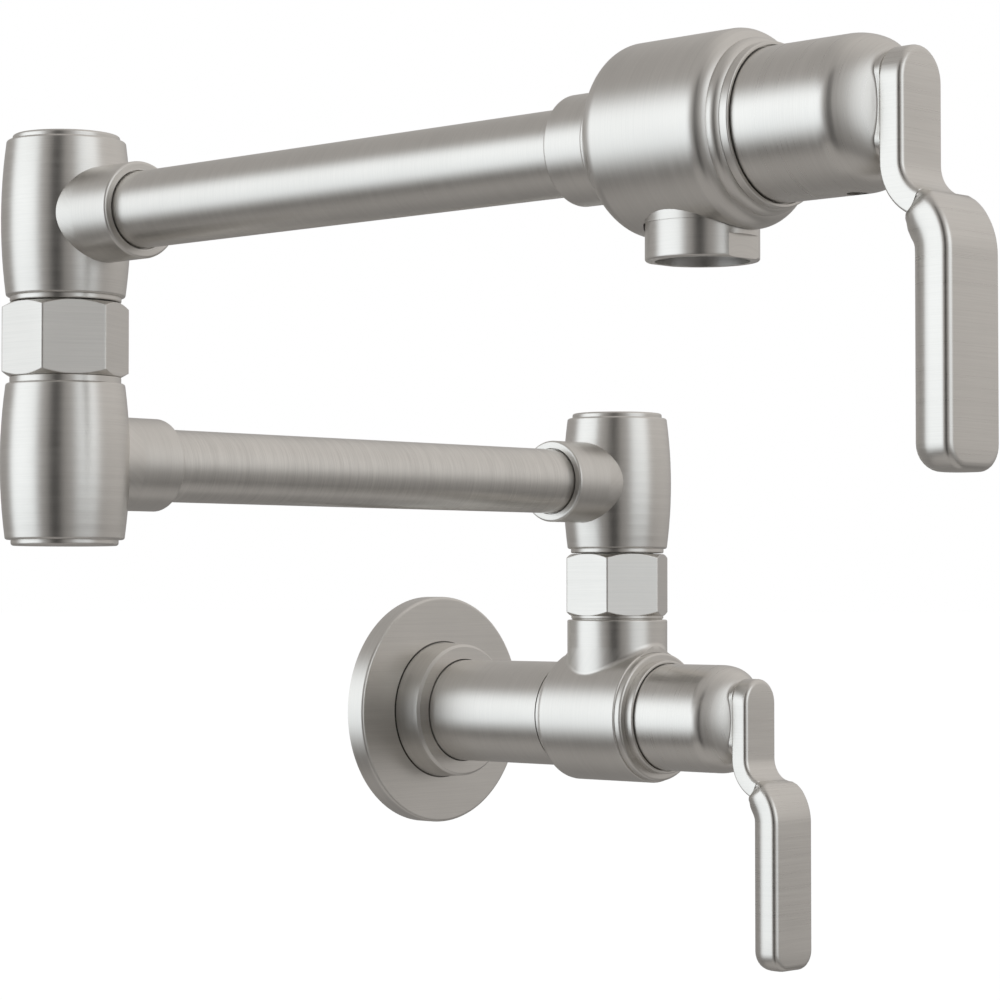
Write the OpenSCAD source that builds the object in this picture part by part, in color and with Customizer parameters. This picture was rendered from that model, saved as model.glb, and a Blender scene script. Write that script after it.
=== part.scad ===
// Wall mounted pot filler with two swivel arms and two quarter turn valves.
// The wall is the plane y = 0, the lower valve axis runs along -Y through the origin, +Z is up.

/* [Layout] */
// Wall to the axis of the first swivel
post_reach = 80.8; // [76:1:110]
// First swivel axis to the elbow axis
lower_arm_len = 213; // [150:1:260]
// Elbow axis to the outlet axis
upper_arm_len = 209.8; // [150:1:260]
// Valve axis to the top of the lower valve's stub
stub_top = 29.1; // [28:0.5:34]
// Outside diameter of the arm tubes
tube_d = 19.05; // [18:0.25:20]
// Wall of the arm tubes
tube_wall = 1.0; // [0.8:0.1:1.5]

/* [Wall flange] */
// Outside diameter of the flange
flange_d = 72; // [60:1:90]
// Thickness of the flange's disc
flange_t = 6.5; // [5:0.5:8]
// Radius on the flange's front edge
flange_edge_r = 0.9; // [0.4:0.1:1.4]
// Wall of the collar outside its O-ring groove, where it leaves the disc
collar_wall = 3.05; // [2.2:0.05:4.6]
// How much the collar's radius narrows towards its front edge
collar_taper = 0.6; // [0.2:0.1:1.2]
// Length of the collar in front of the disc
collar_len = 9.6; // [8:0.2:12]
// Chamfer at the collar's front edge
collar_chamfer = 0.8; // [0.4:0.1:1.2]
// Diameter of the hollow in the flange's back
flange_hollow_d = 60; // [48:1:64]
// Depth of the hollow in the flange's back
flange_hollow_depth = 3.2; // [2:0.2:4]

/* [Inlet shank] */
// Outside diameter of the shank
shank_d = 31.9; // [31:0.1:33]
// Joint between the shank and the valve body to the axis of the first swivel
shank_joint = 19.5; // [16:0.5:22]
// Tapping diameter of the inlet thread
inlet_bore_d = 19; // [18:0.1:21]
// Depth of the inlet thread
inlet_depth = 16; // [12:1:20]
// Diameter of the water way through the shank
shank_bore_d = 15; // [12:0.5:16]
// Diameter of the threaded spigot that enters the valve body
shank_spigot_d = 24.9; // [23:0.1:26]
// Length of the threaded spigot
shank_spigot_len = 9; // [6:0.5:9.5]

/* [Lower valve body] */
// Diameter of the lower valve body
lower_body_d = 39.6; // [39:0.2:44]
// Swivel axis to the front edge of the body's full diameter
lower_body_front = 14.9; // [14.2:0.1:15.3]
// Length of the plain neck between the shank and the rear shoulder
lower_neck_len = 2.3; // [1.5:0.1:3]
// Length of the body's rounded rear shoulder
lower_shoulder_len = 3.2; // [2:0.2:5]
// Height of the ellipse that rounds the rear shoulder
lower_shoulder_h = 7.1; // [6:0.1:8]
// Diameter of the stub
stub_d = 30.4; // [29:0.2:31]
// Radius on the stub's top edge
stub_edge_r = 0.5; // [0.2:0.1:0.9]

/* [Outlet valve body] */
// Diameter of the outlet valve body
outlet_body_d = 41.3; // [40:0.1:46]
// Outlet axis to the front edge of the body's full diameter
outlet_body_front = 14.2; // [14:0.1:15.3]
// Length of the body's rounded rear shoulder
outlet_shoulder_len = 9; // [7:0.2:11]
// Height of the ellipse that rounds the rear shoulder
outlet_shoulder_h = 17.9; // [16:0.1:19]
// Diameter of the rim round the body's rear
outlet_rim_d = 27; // [26:0.2:28]
// Length of the rim
outlet_rim_len = 2.6; // [2:0.1:3]
// Diameter of the collar between the tube and the body
outlet_collar_d = 24.1; // [23.5:0.1:25.5]
// Length of the collar that shows
outlet_collar_len = 11.6; // [8:0.2:14]

/* [Valve head] */
// Port axis to the gap round the handle's hub
head_face = 20.6; // [20:0.1:24]
// Diameter of the first front ring on a valve body
ring_a_d = 38.5; // [37.5:0.1:39]
// Diameter of the bonnet ring
bonnet_d = 35; // [34.2:0.1:36]
// Length of the bonnet ring that shows
bonnet_len = 2.7; // [2:0.1:3.2]
// Diameter of the bonnet ring's threaded skirt
bonnet_skirt_d = 28.9; // [28:0.1:30]
// Diameter of the cartridge's threaded head
cartridge_d = 25.9; // [25:0.1:26.4]
// Diameter of the cartridge's cage round the discs
cage_d = 21; // [20.4:0.2:22]
// Diameter of the ceramic discs
disc_d = 17.8; // [16:0.2:18.2]
// Thickness of one ceramic disc
disc_t = 2.3; // [2:0.1:2.6]
// Diameter of the spindle
spindle_d = 8; // [7:0.1:9]

/* [Handle] */
// Diameter of the handle's hub
hub_d = 31.9; // [31:0.1:32.2]
// Gap face to the front face of the lever's blade
blade_front = 35; // [33:0.2:38]
// Width of the blade
blade_w = 13.4; // [12:0.2:16]
// Thickness of the blade
blade_t = 5.4; // [4:0.2:6]
// Handle axis to the top of the blade
blade_top = 12.1; // [11:0.1:13]
// Handle axis to the height where the blade starts to bend out
bend_start = 11.1; // [9:0.3:13.2]
// Inner radius of the bend from the blade to the grip
bend_r = 6.6; // [6:0.2:8]
// Angle that the blade turns through before the wider grip begins
bend_turn = 66.5; // [55:0.5:75]
// Radius of the shoulder at the top of the grip
shoulder_r = 15.4; // [13:0.2:18]
// Gap face to the front face of the grip
grip_front = 47.2; // [46:0.2:50]
// Height over which the grip's upper corners are rounded
shoulder_corner_h = 3; // [2:0.2:5]
// Width of the grip
grip_w = 17.4; // [15:0.2:20]
// Depth of the grip from front to back
grip_t = 11.7; // [11:0.1:12.4]
// Depth of the grip's straight sides
grip_side = 4; // [3:0.2:5]
// Handle axis to the lower end of the grip
grip_bottom = 71.8; // [60:1:90]
// Radius on the lower corners of the grip
grip_corner_r = 5.5; // [3:0.5:7]
// Diameter of the grub screw
grub_d = 5; // [4:0.5:5]

/* [Swivels] */
// Across flats of the swivel hexagons
hex_af = 28.2; // [27:0.1:29]
// Height of a swivel hexagon
hex_h = 18.7; // [16:0.5:24]
// Radius on the corners of a hexagon
hex_corner_r = 0.6; // [0.3:0.1:1.2]
// Height of the neck between the stub and its hexagon
neck_h = 1.2; // [0.8:0.1:2]
// Diameter of the necks and lips
lip_d = 28.2; // [27:0.1:29]
// Height of the lip under a turning barrel
lip_h = 1.3; // [1:0.1:2]
// Height of the lip under the elbow's hexagon
seat_lip_h = 1.7; // [1:0.1:2.4]
// Gap between a hexagon and the barrel that turns above it
swivel_gap = 0.3; // [0.2:0.05:0.5]
// Height of a barrel
barrel_h = 39.7; // [36:0.5:46]
// Diameter of a barrel at mid height
barrel_d = 32.8; // [32.2:0.1:34]
// Diameter of a barrel at its ends
barrel_end_d = 30.3; // [30:0.1:31.5]
// Radius on a barrel's end edges
barrel_edge_r = 0.7; // [0.3:0.1:1]
// Diameter of the caps
cap_d = 27.2; // [26.4:0.1:28]
// Height of a cap above its barrel
cap_h = 1.5; // [1:0.1:2.5]
// Diameter of a cap's threaded plug
cap_plug_d = 23.9; // [22:0.1:24.5]
// Diameter of the sockets that hold the tubes
socket_d = 24.2; // [23.6:0.1:25]
// Swivel axis to the end of a socket
socket_len = 30; // [26:0.5:36]
// Diameter of the swivel journals
journal_d = 16; // [15:0.1:17]
// Diameter of the threaded tails
tail_d = 19; // [18:0.1:20]
// Length of the threaded tails
tail_len = 12; // [9:0.5:12]
// Diameter of the water way through a swivel
swivel_bore_d = 10; // [8:0.2:10.4]

/* [Outlet] */
// Diameter of the outlet nozzle
nozzle_d = 23.9; // [23:0.1:24.5]
// Outlet body axis to the mouth of the nozzle
nozzle_reach = 26.4; // [25:0.2:32]
// Diameter of the nozzle's mouth
mouth_d = 19.8; // [18:0.1:20.4]
// Across the wrench flats of the nozzle
nozzle_af = 21.9; // [21.2:0.1:22.6]
// Height of the wrench flats
nozzle_flat_h = 4.8; // [3:0.2:5]
// Diameter of one jet hole in the aerator
jet_d = 1.8; // [1:0.1:2]

/* [Hidden] */
$fn = 96;

// Shared clearances
running_fit = 0.05;
thread_fit = 0.05;
show_gap = 0.3;
overrun = 1;
arc_steps = 6;

// Nickel, brass, ceramic, rubber and plastic tones
nickel = [0.72, 0.70, 0.67];
brass = [0.78, 0.62, 0.34];
ceramic = [0.93, 0.92, 0.90];
rubber = [0.10, 0.10, 0.11];
plastic = [0.86, 0.86, 0.82];
steel = [0.60, 0.61, 0.63];

// Radii
tube_r = tube_d / 2;
flange_r = flange_d / 2;
shank_r = shank_d / 2;
lower_body_r = lower_body_d / 2;
outlet_body_r = outlet_body_d / 2;
stub_r = stub_d / 2;
hub_r = hub_d / 2;
barrel_r = barrel_d / 2;
barrel_end_r = barrel_end_d / 2;
lip_r = lip_d / 2;
cap_r = cap_d / 2;
socket_r = socket_d / 2;
journal_r = journal_d / 2;
tail_r = tail_d / 2;
nozzle_r = nozzle_d / 2;
spindle_r = spindle_d / 2;
water_r = tube_r - tube_wall;

// Heights of the two arms above the lower valve axis
half_barrel = barrel_h / 2;
hex_to_arm = swivel_gap + lip_h + half_barrel;
lower_arm_z = stub_top + neck_h + hex_h + hex_to_arm;
elbow_seat_z = lower_arm_z + half_barrel + seat_lip_h;
upper_arm_z = elbow_seat_z + hex_h + hex_to_arm;
post_hex_z = stub_top + neck_h;
outlet_reach = post_reach + upper_arm_len;
shank_len = post_reach - shank_joint;

// Inside of the wall flange
flange_ring_r = 1.2;
flange_ring_z = 9;

// Inside of a valve head, from the port axis outwards
step_r = 0.8;
ring_a_end = head_face - show_gap - bonnet_len;
seat_z = -6;
seat_wall = 4;
seal_t = 0.75;
disc_gap = 0.05;
fixed_disc_z = seat_z + seal_t;
moving_disc_z = fixed_disc_z + disc_t + disc_gap;
foot_z = moving_disc_z + disc_t + disc_gap;
foot_t = 2;
foot_play = 0.7;
cage_top = foot_z + foot_t + foot_play;
cage_window_r = 1.9;
head_bottom = 5;
head_inset = 2.1;
head_top = ring_a_end - head_inset;
skirt_depth = 6;
chamber_r = cartridge_d / 2 + thread_fit;
skirt_r = bonnet_skirt_d / 2;
port_water_r = 7;
seat_hole_r = 6.5;
hub_recess = 1.3;
hub_float = 0.1;
hub_start = head_face - hub_recess + hub_float;
bonnet_hole_r = 9;
spindle_end = 45.5;
grub_z = 39.9;
grub_len = 7;
hub_wall = 2.6;
hub_cavity = 13;

// Hub and dome: the skirt rounds over into a dome that the blade closes
dome_start = 20;
dome_r = 14;
dome_centre_r = hub_r - dome_r;
dome_z = head_face + dome_start;
blade_back_z = head_face + blade_front - blade_t;
dome_bite = 0.4;
dome_end = blade_back_z + dome_bite;

// Half width of the hub's front, pinched between the skirt and the blade
pinch_x_shares = [1.03, 1.0, 0.93, 0.84, 0.75, 0.69, 0.65, 0.61, 0.55, 0.48, 0.40];
pinch_z_shares = [-0.4, 0.04, 0.15, 0.215, 0.26, 0.32, 0.40, 0.52, 0.70, 0.88, 1.06];

// Side view of the lever: the blade bends out to a level ledge, then the shoulder of the grip falls away
blade_z = head_face + blade_front;
grip_z = head_face + grip_front;
bend_z = blade_z + bend_r;
bend_foot = -bend_start - bend_r;
shoulder_z = grip_z - shoulder_r;
shoulder_y = bend_foot - sqrt(pow(shoulder_r, 2) - pow(bend_z - shoulder_z, 2));
shoulder_angle = acos((bend_z - shoulder_z) / shoulder_r);

// Rounded heel behind the shoulder of the grip
heel_r = 2.8;
heel_out = 1.6;
heel_w = 15;
heel_drop = 1.6;

// Inside of a swivel, from the arm axis upwards
bush_len = 6;
bush_r = 11;
shelf_z = 13;
washer_t = 0.8;
clip_t = 1;
clip_r = 9.8;
journal_top = 16;
o_ring_r = 0.9;
o_ring_land = 0.8;
o_ring_z = water_r + o_ring_land + o_ring_r;
clip_groove = 1.1;
chamber_wide_r = 11.4;
chamber_half = 6;
plug_bottom = 16.5;
plug_r = cap_plug_d / 2;
cap_edge_r = 0.7;
cross_hole_r = 3.6;
tube_seat = 15.5;
mouth_gap = 0.7;
mouth_depth = 1.2;
socket_edge_r = 0.7;

// Rear of the outlet body and its collar
shoulder_back = 20;
collar_back = -shoulder_back - outlet_rim_len - outlet_collar_len;
collar_tube_end = 9.6;
collar_spigot_r = 10.6;

// Inside of the outlet
nozzle_top = 13.7;
nozzle_thread_step = 0.28;
nozzle_thread_r = nozzle_r + nozzle_thread_step;
nozzle_thread_end = 18.6;
aerator_seat = 18.4;
aerator_t = 4.6;
aerator_washer_t = 0.8;
aerator_rim = 1.4;
nozzle_edge_r = 0.5;
jet_pitch = 3.4;

// Points of an elliptical arc about a centre
function arc_points(cx, cy, rx, ry, from, to, steps = arc_steps) =
    [for (i = [0:steps]) let (a = from + (to - from) * i / steps) [cx + rx * cos(a), cy + ry * sin(a)]];

// Frame of the lower valve: z runs out of the wall, y runs up, zero on the first swivel's axis
module at_lower_valve() {
    translate([0, -post_reach, 0]) rotate([90, 0, 0]) children();
}

// Frame of the outlet valve, zero on the outlet's axis
module at_outlet_valve() {
    translate([-lower_arm_len, -outlet_reach, upper_arm_z]) rotate([90, 0, 0]) children();
}

// Frames on the two swivel axes, zero at the height of an arm
module at_post(z = 0) {
    translate([0, -post_reach, z]) children();
}

module at_elbow(z = 0) {
    translate([-lower_arm_len, -post_reach, z]) children();
}

// Lays a shape that stands on +Z along the direction of a socket
module along(direction) {
    rotate([0, 0, direction]) rotate([0, 90, 0]) children();
}

module turned(points) {
    rotate_extrude() polygon(points);
}

// Ring of round section
module o_ring(centre_r, section_r) {
    rotate_extrude() translate([centre_r, 0]) circle(section_r, $fn = 32);
}

// Flat washer from one height to another
module washer(outer_r, inner_r, from, to) {
    translate([0, 0, from]) difference() {
        cylinder(r = outer_r, h = to - from);
        translate([0, 0, -overrun]) cylinder(r = inner_r, h = to - from + 2 * overrun);
    }
}

module wall_flange() {
    top = flange_t + collar_len;
    bore_r = shank_r + show_gap;
    groove_r = shank_r + 2 * flange_ring_r + running_fit;
    base_r = groove_r + collar_wall;
    front_r = base_r - collar_taper;
    color(nickel) rotate([90, 0, 0]) difference() {
        turned(concat(
            [[0, 0], [flange_r, 0]],
            arc_points(flange_r - flange_edge_r, flange_t - flange_edge_r, flange_edge_r, flange_edge_r, 0, 90),
            [[base_r, flange_t], [front_r, top - collar_chamfer], [front_r - collar_chamfer, top], [0, top]]));
        translate([0, 0, -overrun]) cylinder(r = bore_r, h = top + 2 * overrun);
        translate([0, 0, -overrun]) cylinder(d = flange_hollow_d, h = flange_hollow_depth + overrun);
        translate([0, 0, flange_ring_z - flange_ring_r - running_fit])
            cylinder(r = groove_r, h = 2 * (flange_ring_r + running_fit));
    }
}

module flange_o_ring() {
    color(rubber) rotate([90, 0, 0]) translate([0, 0, flange_ring_z])
        o_ring(shank_r + running_fit + flange_ring_r, flange_ring_r);
}

module inlet_shank() {
    end = shank_len + shank_spigot_len;
    color(nickel) rotate([90, 0, 0]) difference() {
        union() {
            cylinder(r = shank_r, h = shank_len - show_gap / 2);
            cylinder(d = shank_spigot_d, h = end);
        }
        translate([0, 0, -overrun]) cylinder(d = inlet_bore_d, h = inlet_depth + overrun);
        cylinder(d = shank_bore_d, h = end + overrun);
    }
}

// Outline of a valve body's front: rounded edge, step and first ring
function front_outline(body_r, front) = let (ring_r = ring_a_d / 2, fillet = step_r / 2) concat(
    arc_points(body_r - step_r, front - step_r, step_r, step_r, 0, 80),
    arc_points(ring_r + fillet, front + fillet, fillet, fillet, -100, -180),
    arc_points(ring_r - step_r, ring_a_end - step_r, step_r, step_r, 0, 90));

// Everything that is hollow in a valve body's head
module head_hollow() {
    translate([0, 0, seat_z]) cylinder(r = chamber_r, h = ring_a_end - seat_z + overrun);
    translate([0, 0, ring_a_end - skirt_depth - thread_fit])
        cylinder(r = skirt_r + thread_fit, h = skirt_depth + thread_fit + overrun);
    translate([0, 0, seat_z - seat_wall - overrun]) cylinder(r = seat_hole_r, h = seat_wall + 2 * overrun);
}

module lower_valve_body() {
    rear = -shank_joint;
    centre_r = lower_body_r - lower_shoulder_h;
    shoulder_z = rear + lower_neck_len + lower_shoulder_len;
    start_angle = asin((shank_r - centre_r) / lower_shoulder_h);
    socket_z = seat_z - seat_wall;
    color(nickel) at_lower_valve() difference() {
        union() {
            turned(concat(
                [[0, rear], [shank_r - show_gap, rear], [shank_r, rear + show_gap]],
                [for (t = [0:arc_steps]) let (a = start_angle + (90 - start_angle) * t / arc_steps)
                    [centre_r + lower_shoulder_h * sin(a), shoulder_z - lower_shoulder_len * cos(a)]],
                front_outline(lower_body_r, lower_body_front),
                [[0, ring_a_end]]));
            rotate([-90, 0, 0]) turned(concat(
                [[0, 0], [stub_r, 0]],
                arc_points(stub_r - stub_edge_r, stub_top - stub_edge_r, stub_edge_r, stub_edge_r, 0, 90),
                [[0, stub_top]]));
        }
        head_hollow();
        translate([0, 0, rear - overrun])
            cylinder(r = shank_spigot_d / 2 + thread_fit, h = socket_z - rear + overrun);
        rotate([-90, 0, 0]) translate([0, 0, stub_top - tail_len - overrun])
            cylinder(r = tail_r + thread_fit, h = tail_len + 2 * overrun);
        rotate([-90, 0, 0]) cylinder(r = port_water_r, h = stub_top);
    }
}

// Threaded ring that holds the cartridge and shows as the inner front ring
module bonnet_ring() {
    top = ring_a_end + bonnet_len;
    big_r = bonnet_d / 2;
    recess_r = hub_r + show_gap;
    color(nickel) difference() {
        union() {
            turned(concat(
                [[0, ring_a_end], [big_r, ring_a_end]],
                arc_points(big_r - step_r, top - step_r, step_r, step_r, 0, 90),
                [[0, top]]));
            translate([0, 0, ring_a_end - skirt_depth]) cylinder(r = skirt_r, h = skirt_depth + step_r);
        }
        translate([0, 0, ring_a_end - skirt_depth - overrun])
            cylinder(r = chamber_r, h = head_top - ring_a_end + skirt_depth + overrun + thread_fit);
        translate([0, 0, ring_a_end - skirt_depth]) cylinder(r = bonnet_hole_r, h = skirt_depth + top);
        translate([0, 0, top - hub_recess]) cylinder(r = recess_r, h = hub_recess + overrun);
    }
}

// Brass cartridge: threaded head above a cage with two windows
module cartridge() {
    color(brass) difference() {
        union() {
            translate([0, 0, head_bottom]) cylinder(d = cartridge_d, h = head_top - head_bottom);
            translate([0, 0, fixed_disc_z]) cylinder(d = cage_d, h = head_bottom - fixed_disc_z + overrun);
        }
        translate([0, 0, fixed_disc_z - overrun])
            cylinder(r = disc_d / 2 + running_fit, h = cage_top - fixed_disc_z + overrun);
        translate([0, 0, cage_top - overrun])
            cylinder(r = spindle_r + running_fit, h = head_top - cage_top + 2 * overrun);
        translate([0, 0, moving_disc_z + disc_t / 2]) rotate([0, 90, 0])
            cylinder(r = cage_window_r, h = 2 * cage_d, center = true);
    }
}

module seat_seal() {
    color(rubber) washer(disc_d / 2, seat_hole_r, seat_z, fixed_disc_z - disc_gap);
}

// Ceramic disc with two water holes
module ceramic_disc(from) {
    hole_share = 0.26;
    place_share = 0.52;
    color(ceramic) translate([0, 0, from]) difference() {
        cylinder(d = disc_d, h = disc_t);
        for (side = [-1, 1]) translate([0, side * place_share * disc_d / 2, -overrun])
            cylinder(r = hole_share * disc_d / 2, h = disc_t + 2 * overrun);
    }
}

module spindle() {
    color(brass) union() {
        translate([0, 0, foot_z]) cylinder(d = disc_d, h = foot_t);
        translate([0, 0, foot_z]) cylinder(r = spindle_r, h = spindle_end - foot_z);
    }
}

module hub() {
    end_angle = asin((dome_end - dome_z) / dome_r);
    span = blade_back_z - dome_z;
    intersection() {
        turned(concat(
            [[0, hub_start], [hub_r - step_r / 2, hub_start], [hub_r, hub_start + step_r / 2]],
            arc_points(dome_centre_r, dome_z, dome_r, dome_r, 0, end_angle, 2 * arc_steps),
            [[0, dome_end]]));
        union() {
            cylinder(r = hub_r + overrun, h = dome_z);
            rotate([90, 0, 0]) linear_extrude(2 * hub_d, center = true)
                for (side = [-1, 1]) scale([side, 1]) polygon(concat(
                    [[0, dome_z - span / 2]],
                    [for (i = [0:len(pinch_x_shares) - 1])
                        [hub_r * pinch_x_shares[i], dome_z + span * pinch_z_shares[i]]],
                    [[0, dome_z + span * pinch_z_shares[len(pinch_z_shares) - 1]]]));
        }
    }
}

// Extrudes a side view, drawn as height and distance out, across the width of the lever
module across(width) {
    rotate([90, 0, 90]) linear_extrude(width, center = true) children();
}

// Points of the bend from one angle to another, at one distance from its centre
function bend_points(r, from, to) = [for (i = [0:2 * arc_steps])
    let (a = from + (to - from) * i / (2 * arc_steps)) [-bend_start - r * sin(a), bend_z - r * cos(a)]];

module blade() {
    intersection() {
        across(blade_w) polygon(concat([[blade_top + overrun, blade_z]], bend_points(bend_r, 0, bend_turn),
            bend_points(bend_r + blade_t, bend_turn, 0), [[blade_top + overrun, blade_z - blade_t]]));
        union() {
            translate([0, blade_top - blade_w / 2, 0]) cylinder(d = blade_w, h = 2 * grip_z);
            translate([-blade_w, -grip_bottom, 0])
                cube([2 * blade_w, grip_bottom + blade_top - blade_w / 2, 2 * grip_z]);
        }
    }
}

// Front view of the grip: wider than the blade, with rounded corners above and below
module grip_face() {
    half_w = grip_w / 2;
    top = bend_foot + shoulder_corner_h;
    linear_extrude(2 * grip_z) for (side = [-1, 1]) scale([side, 1]) polygon(concat(
        [[0, -grip_bottom]],
        arc_points(half_w - grip_corner_r, -grip_bottom + grip_corner_r, grip_corner_r, grip_corner_r, -90, 0),
        arc_points(blade_w / 2, bend_foot - shoulder_corner_h, half_w - blade_w / 2, shoulder_corner_h, 0, 90),
        [[blade_w / 2, top], [0, top]]));
}

module grip() {
    back_z = grip_z - grip_t;
    round_t = grip_t - grip_side;
    half_w = grip_w / 2;
    heel_top = bend_points(bend_r + blade_t, bend_turn, bend_turn)[0];
    shoulder = [for (i = [0:2 * arc_steps]) let (a = shoulder_angle * (1 - i / (2 * arc_steps)))
        [shoulder_y + shoulder_r * sin(a), shoulder_z + shoulder_r * cos(a)]];
    union() {
        intersection() {
            across(2 * grip_w) polygon(concat(
                bend_points(bend_r, bend_turn, 90), shoulder,
                [[-grip_bottom, grip_z], [-grip_bottom, back_z], [heel_top[0] - heel_drop, back_z], heel_top]));
            rotate([90, 0, 0]) linear_extrude(2 * grip_bottom, center = true) polygon(concat(
                [[half_w, grip_z + overrun], [-half_w, grip_z + overrun]],
                arc_points(0, back_z + round_t, half_w, round_t, 180, 360, 4 * arc_steps)));
            grip_face();
        }
        translate([0, heel_top[0] - heel_drop, back_z + heel_r - heel_out]) rotate([0, 90, 0])
            rotate_extrude() polygon(concat([[0, -heel_w / 2]],
                arc_points(0, 0, heel_r, heel_w / 2, -80, 80, 2 * arc_steps), [[0, heel_w / 2]]));
    }
}

module handle() {
    bore_r = spindle_r + running_fit;
    cavity_r = hub_r - hub_wall;
    color(nickel) difference() {
        union() {
            hub();
            blade();
            grip();
        }
        translate([0, 0, hub_start - overrun]) cylinder(r = cavity_r, h = hub_cavity + overrun);
        translate([0, 0, hub_start]) cylinder(r = bore_r, h = spindle_end + show_gap - hub_start);
        translate([0, 0, grub_z]) rotate([90, 0, 0]) cylinder(d = grub_d, h = hub_d);
    }
}

// Grub screw with a hexagon socket, bearing on the spindle
module grub_screw() {
    socket_af_share = 0.5;
    socket_depth_share = 0.45;
    color(steel) translate([0, 0, grub_z]) rotate([90, 0, 0])
        translate([0, 0, spindle_r + running_fit]) difference() {
            cylinder(r = grub_d / 2 - thread_fit, h = grub_len);
            translate([0, 0, grub_len * (1 - socket_depth_share)])
                cylinder(d = grub_d * socket_af_share / cos(30), h = grub_len, $fn = 6);
        }
}

// Hexagon with rounded corners and chamfered ends, a flat facing +X
module hexagon(height) {
    corner_r = hex_af / 2 / cos(30);
    inner_r = corner_r - hex_corner_r / cos(30);
    chamfer = (corner_r - hex_af / 2) * tan(30);
    points = [for (k = [0:5]) for (i = [0:3]) let (mid = 30 + 60 * k, a = mid - 30 + 20 * i)
        [inner_r * cos(mid) + hex_corner_r * cos(a), inner_r * sin(mid) + hex_corner_r * sin(a)]];
    intersection() {
        linear_extrude(height) polygon(points);
        turned([[0, -overrun], [hex_af / 2 - overrun / tan(30), -overrun],
            [corner_r + overrun / tan(30), chamfer + overrun],
            [corner_r + overrun / tan(30), height - chamfer - overrun],
            [hex_af / 2 - overrun / tan(30), height + overrun], [0, height + overrun]]);
    }
}

// Spigot of a swivel: threaded tail, neck, hexagon and journal, with zero at the hexagon's foot
module spigot(neck) {
    arm = hex_h + hex_to_arm;
    top = arm + journal_top;
    color(nickel) difference() {
        union() {
            hexagon(hex_h);
            translate([0, 0, -neck]) cylinder(r = lip_r - step_r / 2, h = neck + step_r);
            translate([0, 0, -neck - tail_len]) cylinder(r = tail_r, h = tail_len + neck + step_r);
            cylinder(r = journal_r, h = top);
        }
        translate([0, 0, -neck - tail_len - overrun])
            cylinder(d = swivel_bore_d, h = arm + neck + tail_len + cross_hole_r + overrun);
        for (turn = [0, 90]) translate([0, 0, arm]) rotate([0, 0, turn]) rotate([0, 90, 0])
            cylinder(r = cross_hole_r, h = 2 * journal_d, center = true);
        for (side = [-1, 1]) translate([0, 0, arm + side * o_ring_z])
            washer(journal_r + overrun, journal_r - 2 * (o_ring_r + running_fit),
                -o_ring_r - running_fit, o_ring_r + running_fit);
        translate([0, 0, arm]) washer(journal_r + overrun, journal_r - clip_groove,
            shelf_z + washer_t, shelf_z + washer_t + clip_t + 2 * running_fit);
    }
}

module swivel_o_rings() {
    color(rubber) for (side = [-1, 1]) translate([0, 0, side * o_ring_z])
        o_ring(journal_r - running_fit - o_ring_r, o_ring_r);
}

// Plastic bush in the foot of a turning barrel
module swivel_bush() {
    low = -half_barrel - lip_h - swivel_gap + disc_gap;
    color(plastic) washer(bush_r, journal_r + running_fit, low, low + bush_len);
}

module swivel_washer() {
    color(plastic) washer(plug_r - 2 * show_gap, journal_r + running_fit, shelf_z, shelf_z + washer_t - disc_gap);
}

// Spring clip in the groove at the top of a journal, open at one side
module swivel_clip() {
    gap_share = 0.5;
    inner = journal_r - clip_groove + running_fit;
    color(steel) translate([0, 0, shelf_z + washer_t + running_fit]) difference() {
        cylinder(r = clip_r, h = clip_t);
        translate([0, 0, -overrun]) cylinder(r = inner, h = clip_t + 2 * overrun);
        translate([0, -inner * gap_share, -overrun])
            cube([2 * clip_r, 2 * inner * gap_share, clip_t + 2 * overrun]);
    }
}

// Socket that holds a tube, turned about its own axis, starting at the swivel's axis
module socket_outside() {
    turned(concat(
        [[0, 0], [socket_r, 0]],
        arc_points(socket_r - socket_edge_r, socket_len - socket_edge_r, socket_edge_r, socket_edge_r, 0, 90),
        [[0, socket_len]]));
}

module socket_inside() {
    cylinder(r = water_r, h = tube_seat + overrun);
    translate([0, 0, tube_seat]) cylinder(r = tube_r + thread_fit, h = socket_len);
    translate([0, 0, socket_len - mouth_depth]) cylinder(r = tube_r + mouth_gap, h = mouth_depth + overrun);
}

// Outside of a barrel, bulging at mid height
function barrel_side() = [for (i = [-arc_steps:arc_steps]) let (share = i / arc_steps)
    [barrel_end_r + (barrel_r - barrel_end_r) * (1 - share * share), share * (half_barrel - barrel_edge_r)]];

function barrel_outline() = concat(
    arc_points(barrel_end_r - barrel_edge_r, barrel_edge_r - half_barrel, barrel_edge_r, barrel_edge_r, -90, -15, 4),
    barrel_side(),
    arc_points(barrel_end_r - barrel_edge_r, half_barrel - barrel_edge_r, barrel_edge_r, barrel_edge_r, 15, 90, 4));

// Rounded lip that stands on one end of a barrel
module lip(height) {
    turned(concat([[0, -overrun], [lip_r, -overrun]],
        arc_points(lip_r - step_r / 2, height - step_r / 2, step_r / 2, step_r / 2, 0, 90, 4), [[0, height]]));
}

// Barrel that turns on a journal, zero at the arm's height
module turning_barrel(direction) {
    low = half_barrel + lip_h;
    color(nickel) difference() {
        union() {
            turned(concat([[0, -half_barrel]], barrel_outline(), [[0, half_barrel]]));
            translate([0, 0, -half_barrel]) mirror([0, 0, 1]) lip(lip_h);
            along(direction) socket_outside();
        }
        translate([0, 0, -low - overrun]) cylinder(r = journal_r + running_fit, h = low + shelf_z + 2 * overrun);
        translate([0, 0, -low - overrun]) cylinder(r = bush_r + thread_fit,
            h = bush_len - swivel_gap + disc_gap + thread_fit + overrun);
        translate([0, 0, -chamber_half]) cylinder(r = chamber_wide_r, h = 2 * chamber_half);
        translate([0, 0, shelf_z]) cylinder(r = plug_r + thread_fit, h = half_barrel);
        along(direction) socket_inside();
    }
}

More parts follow.
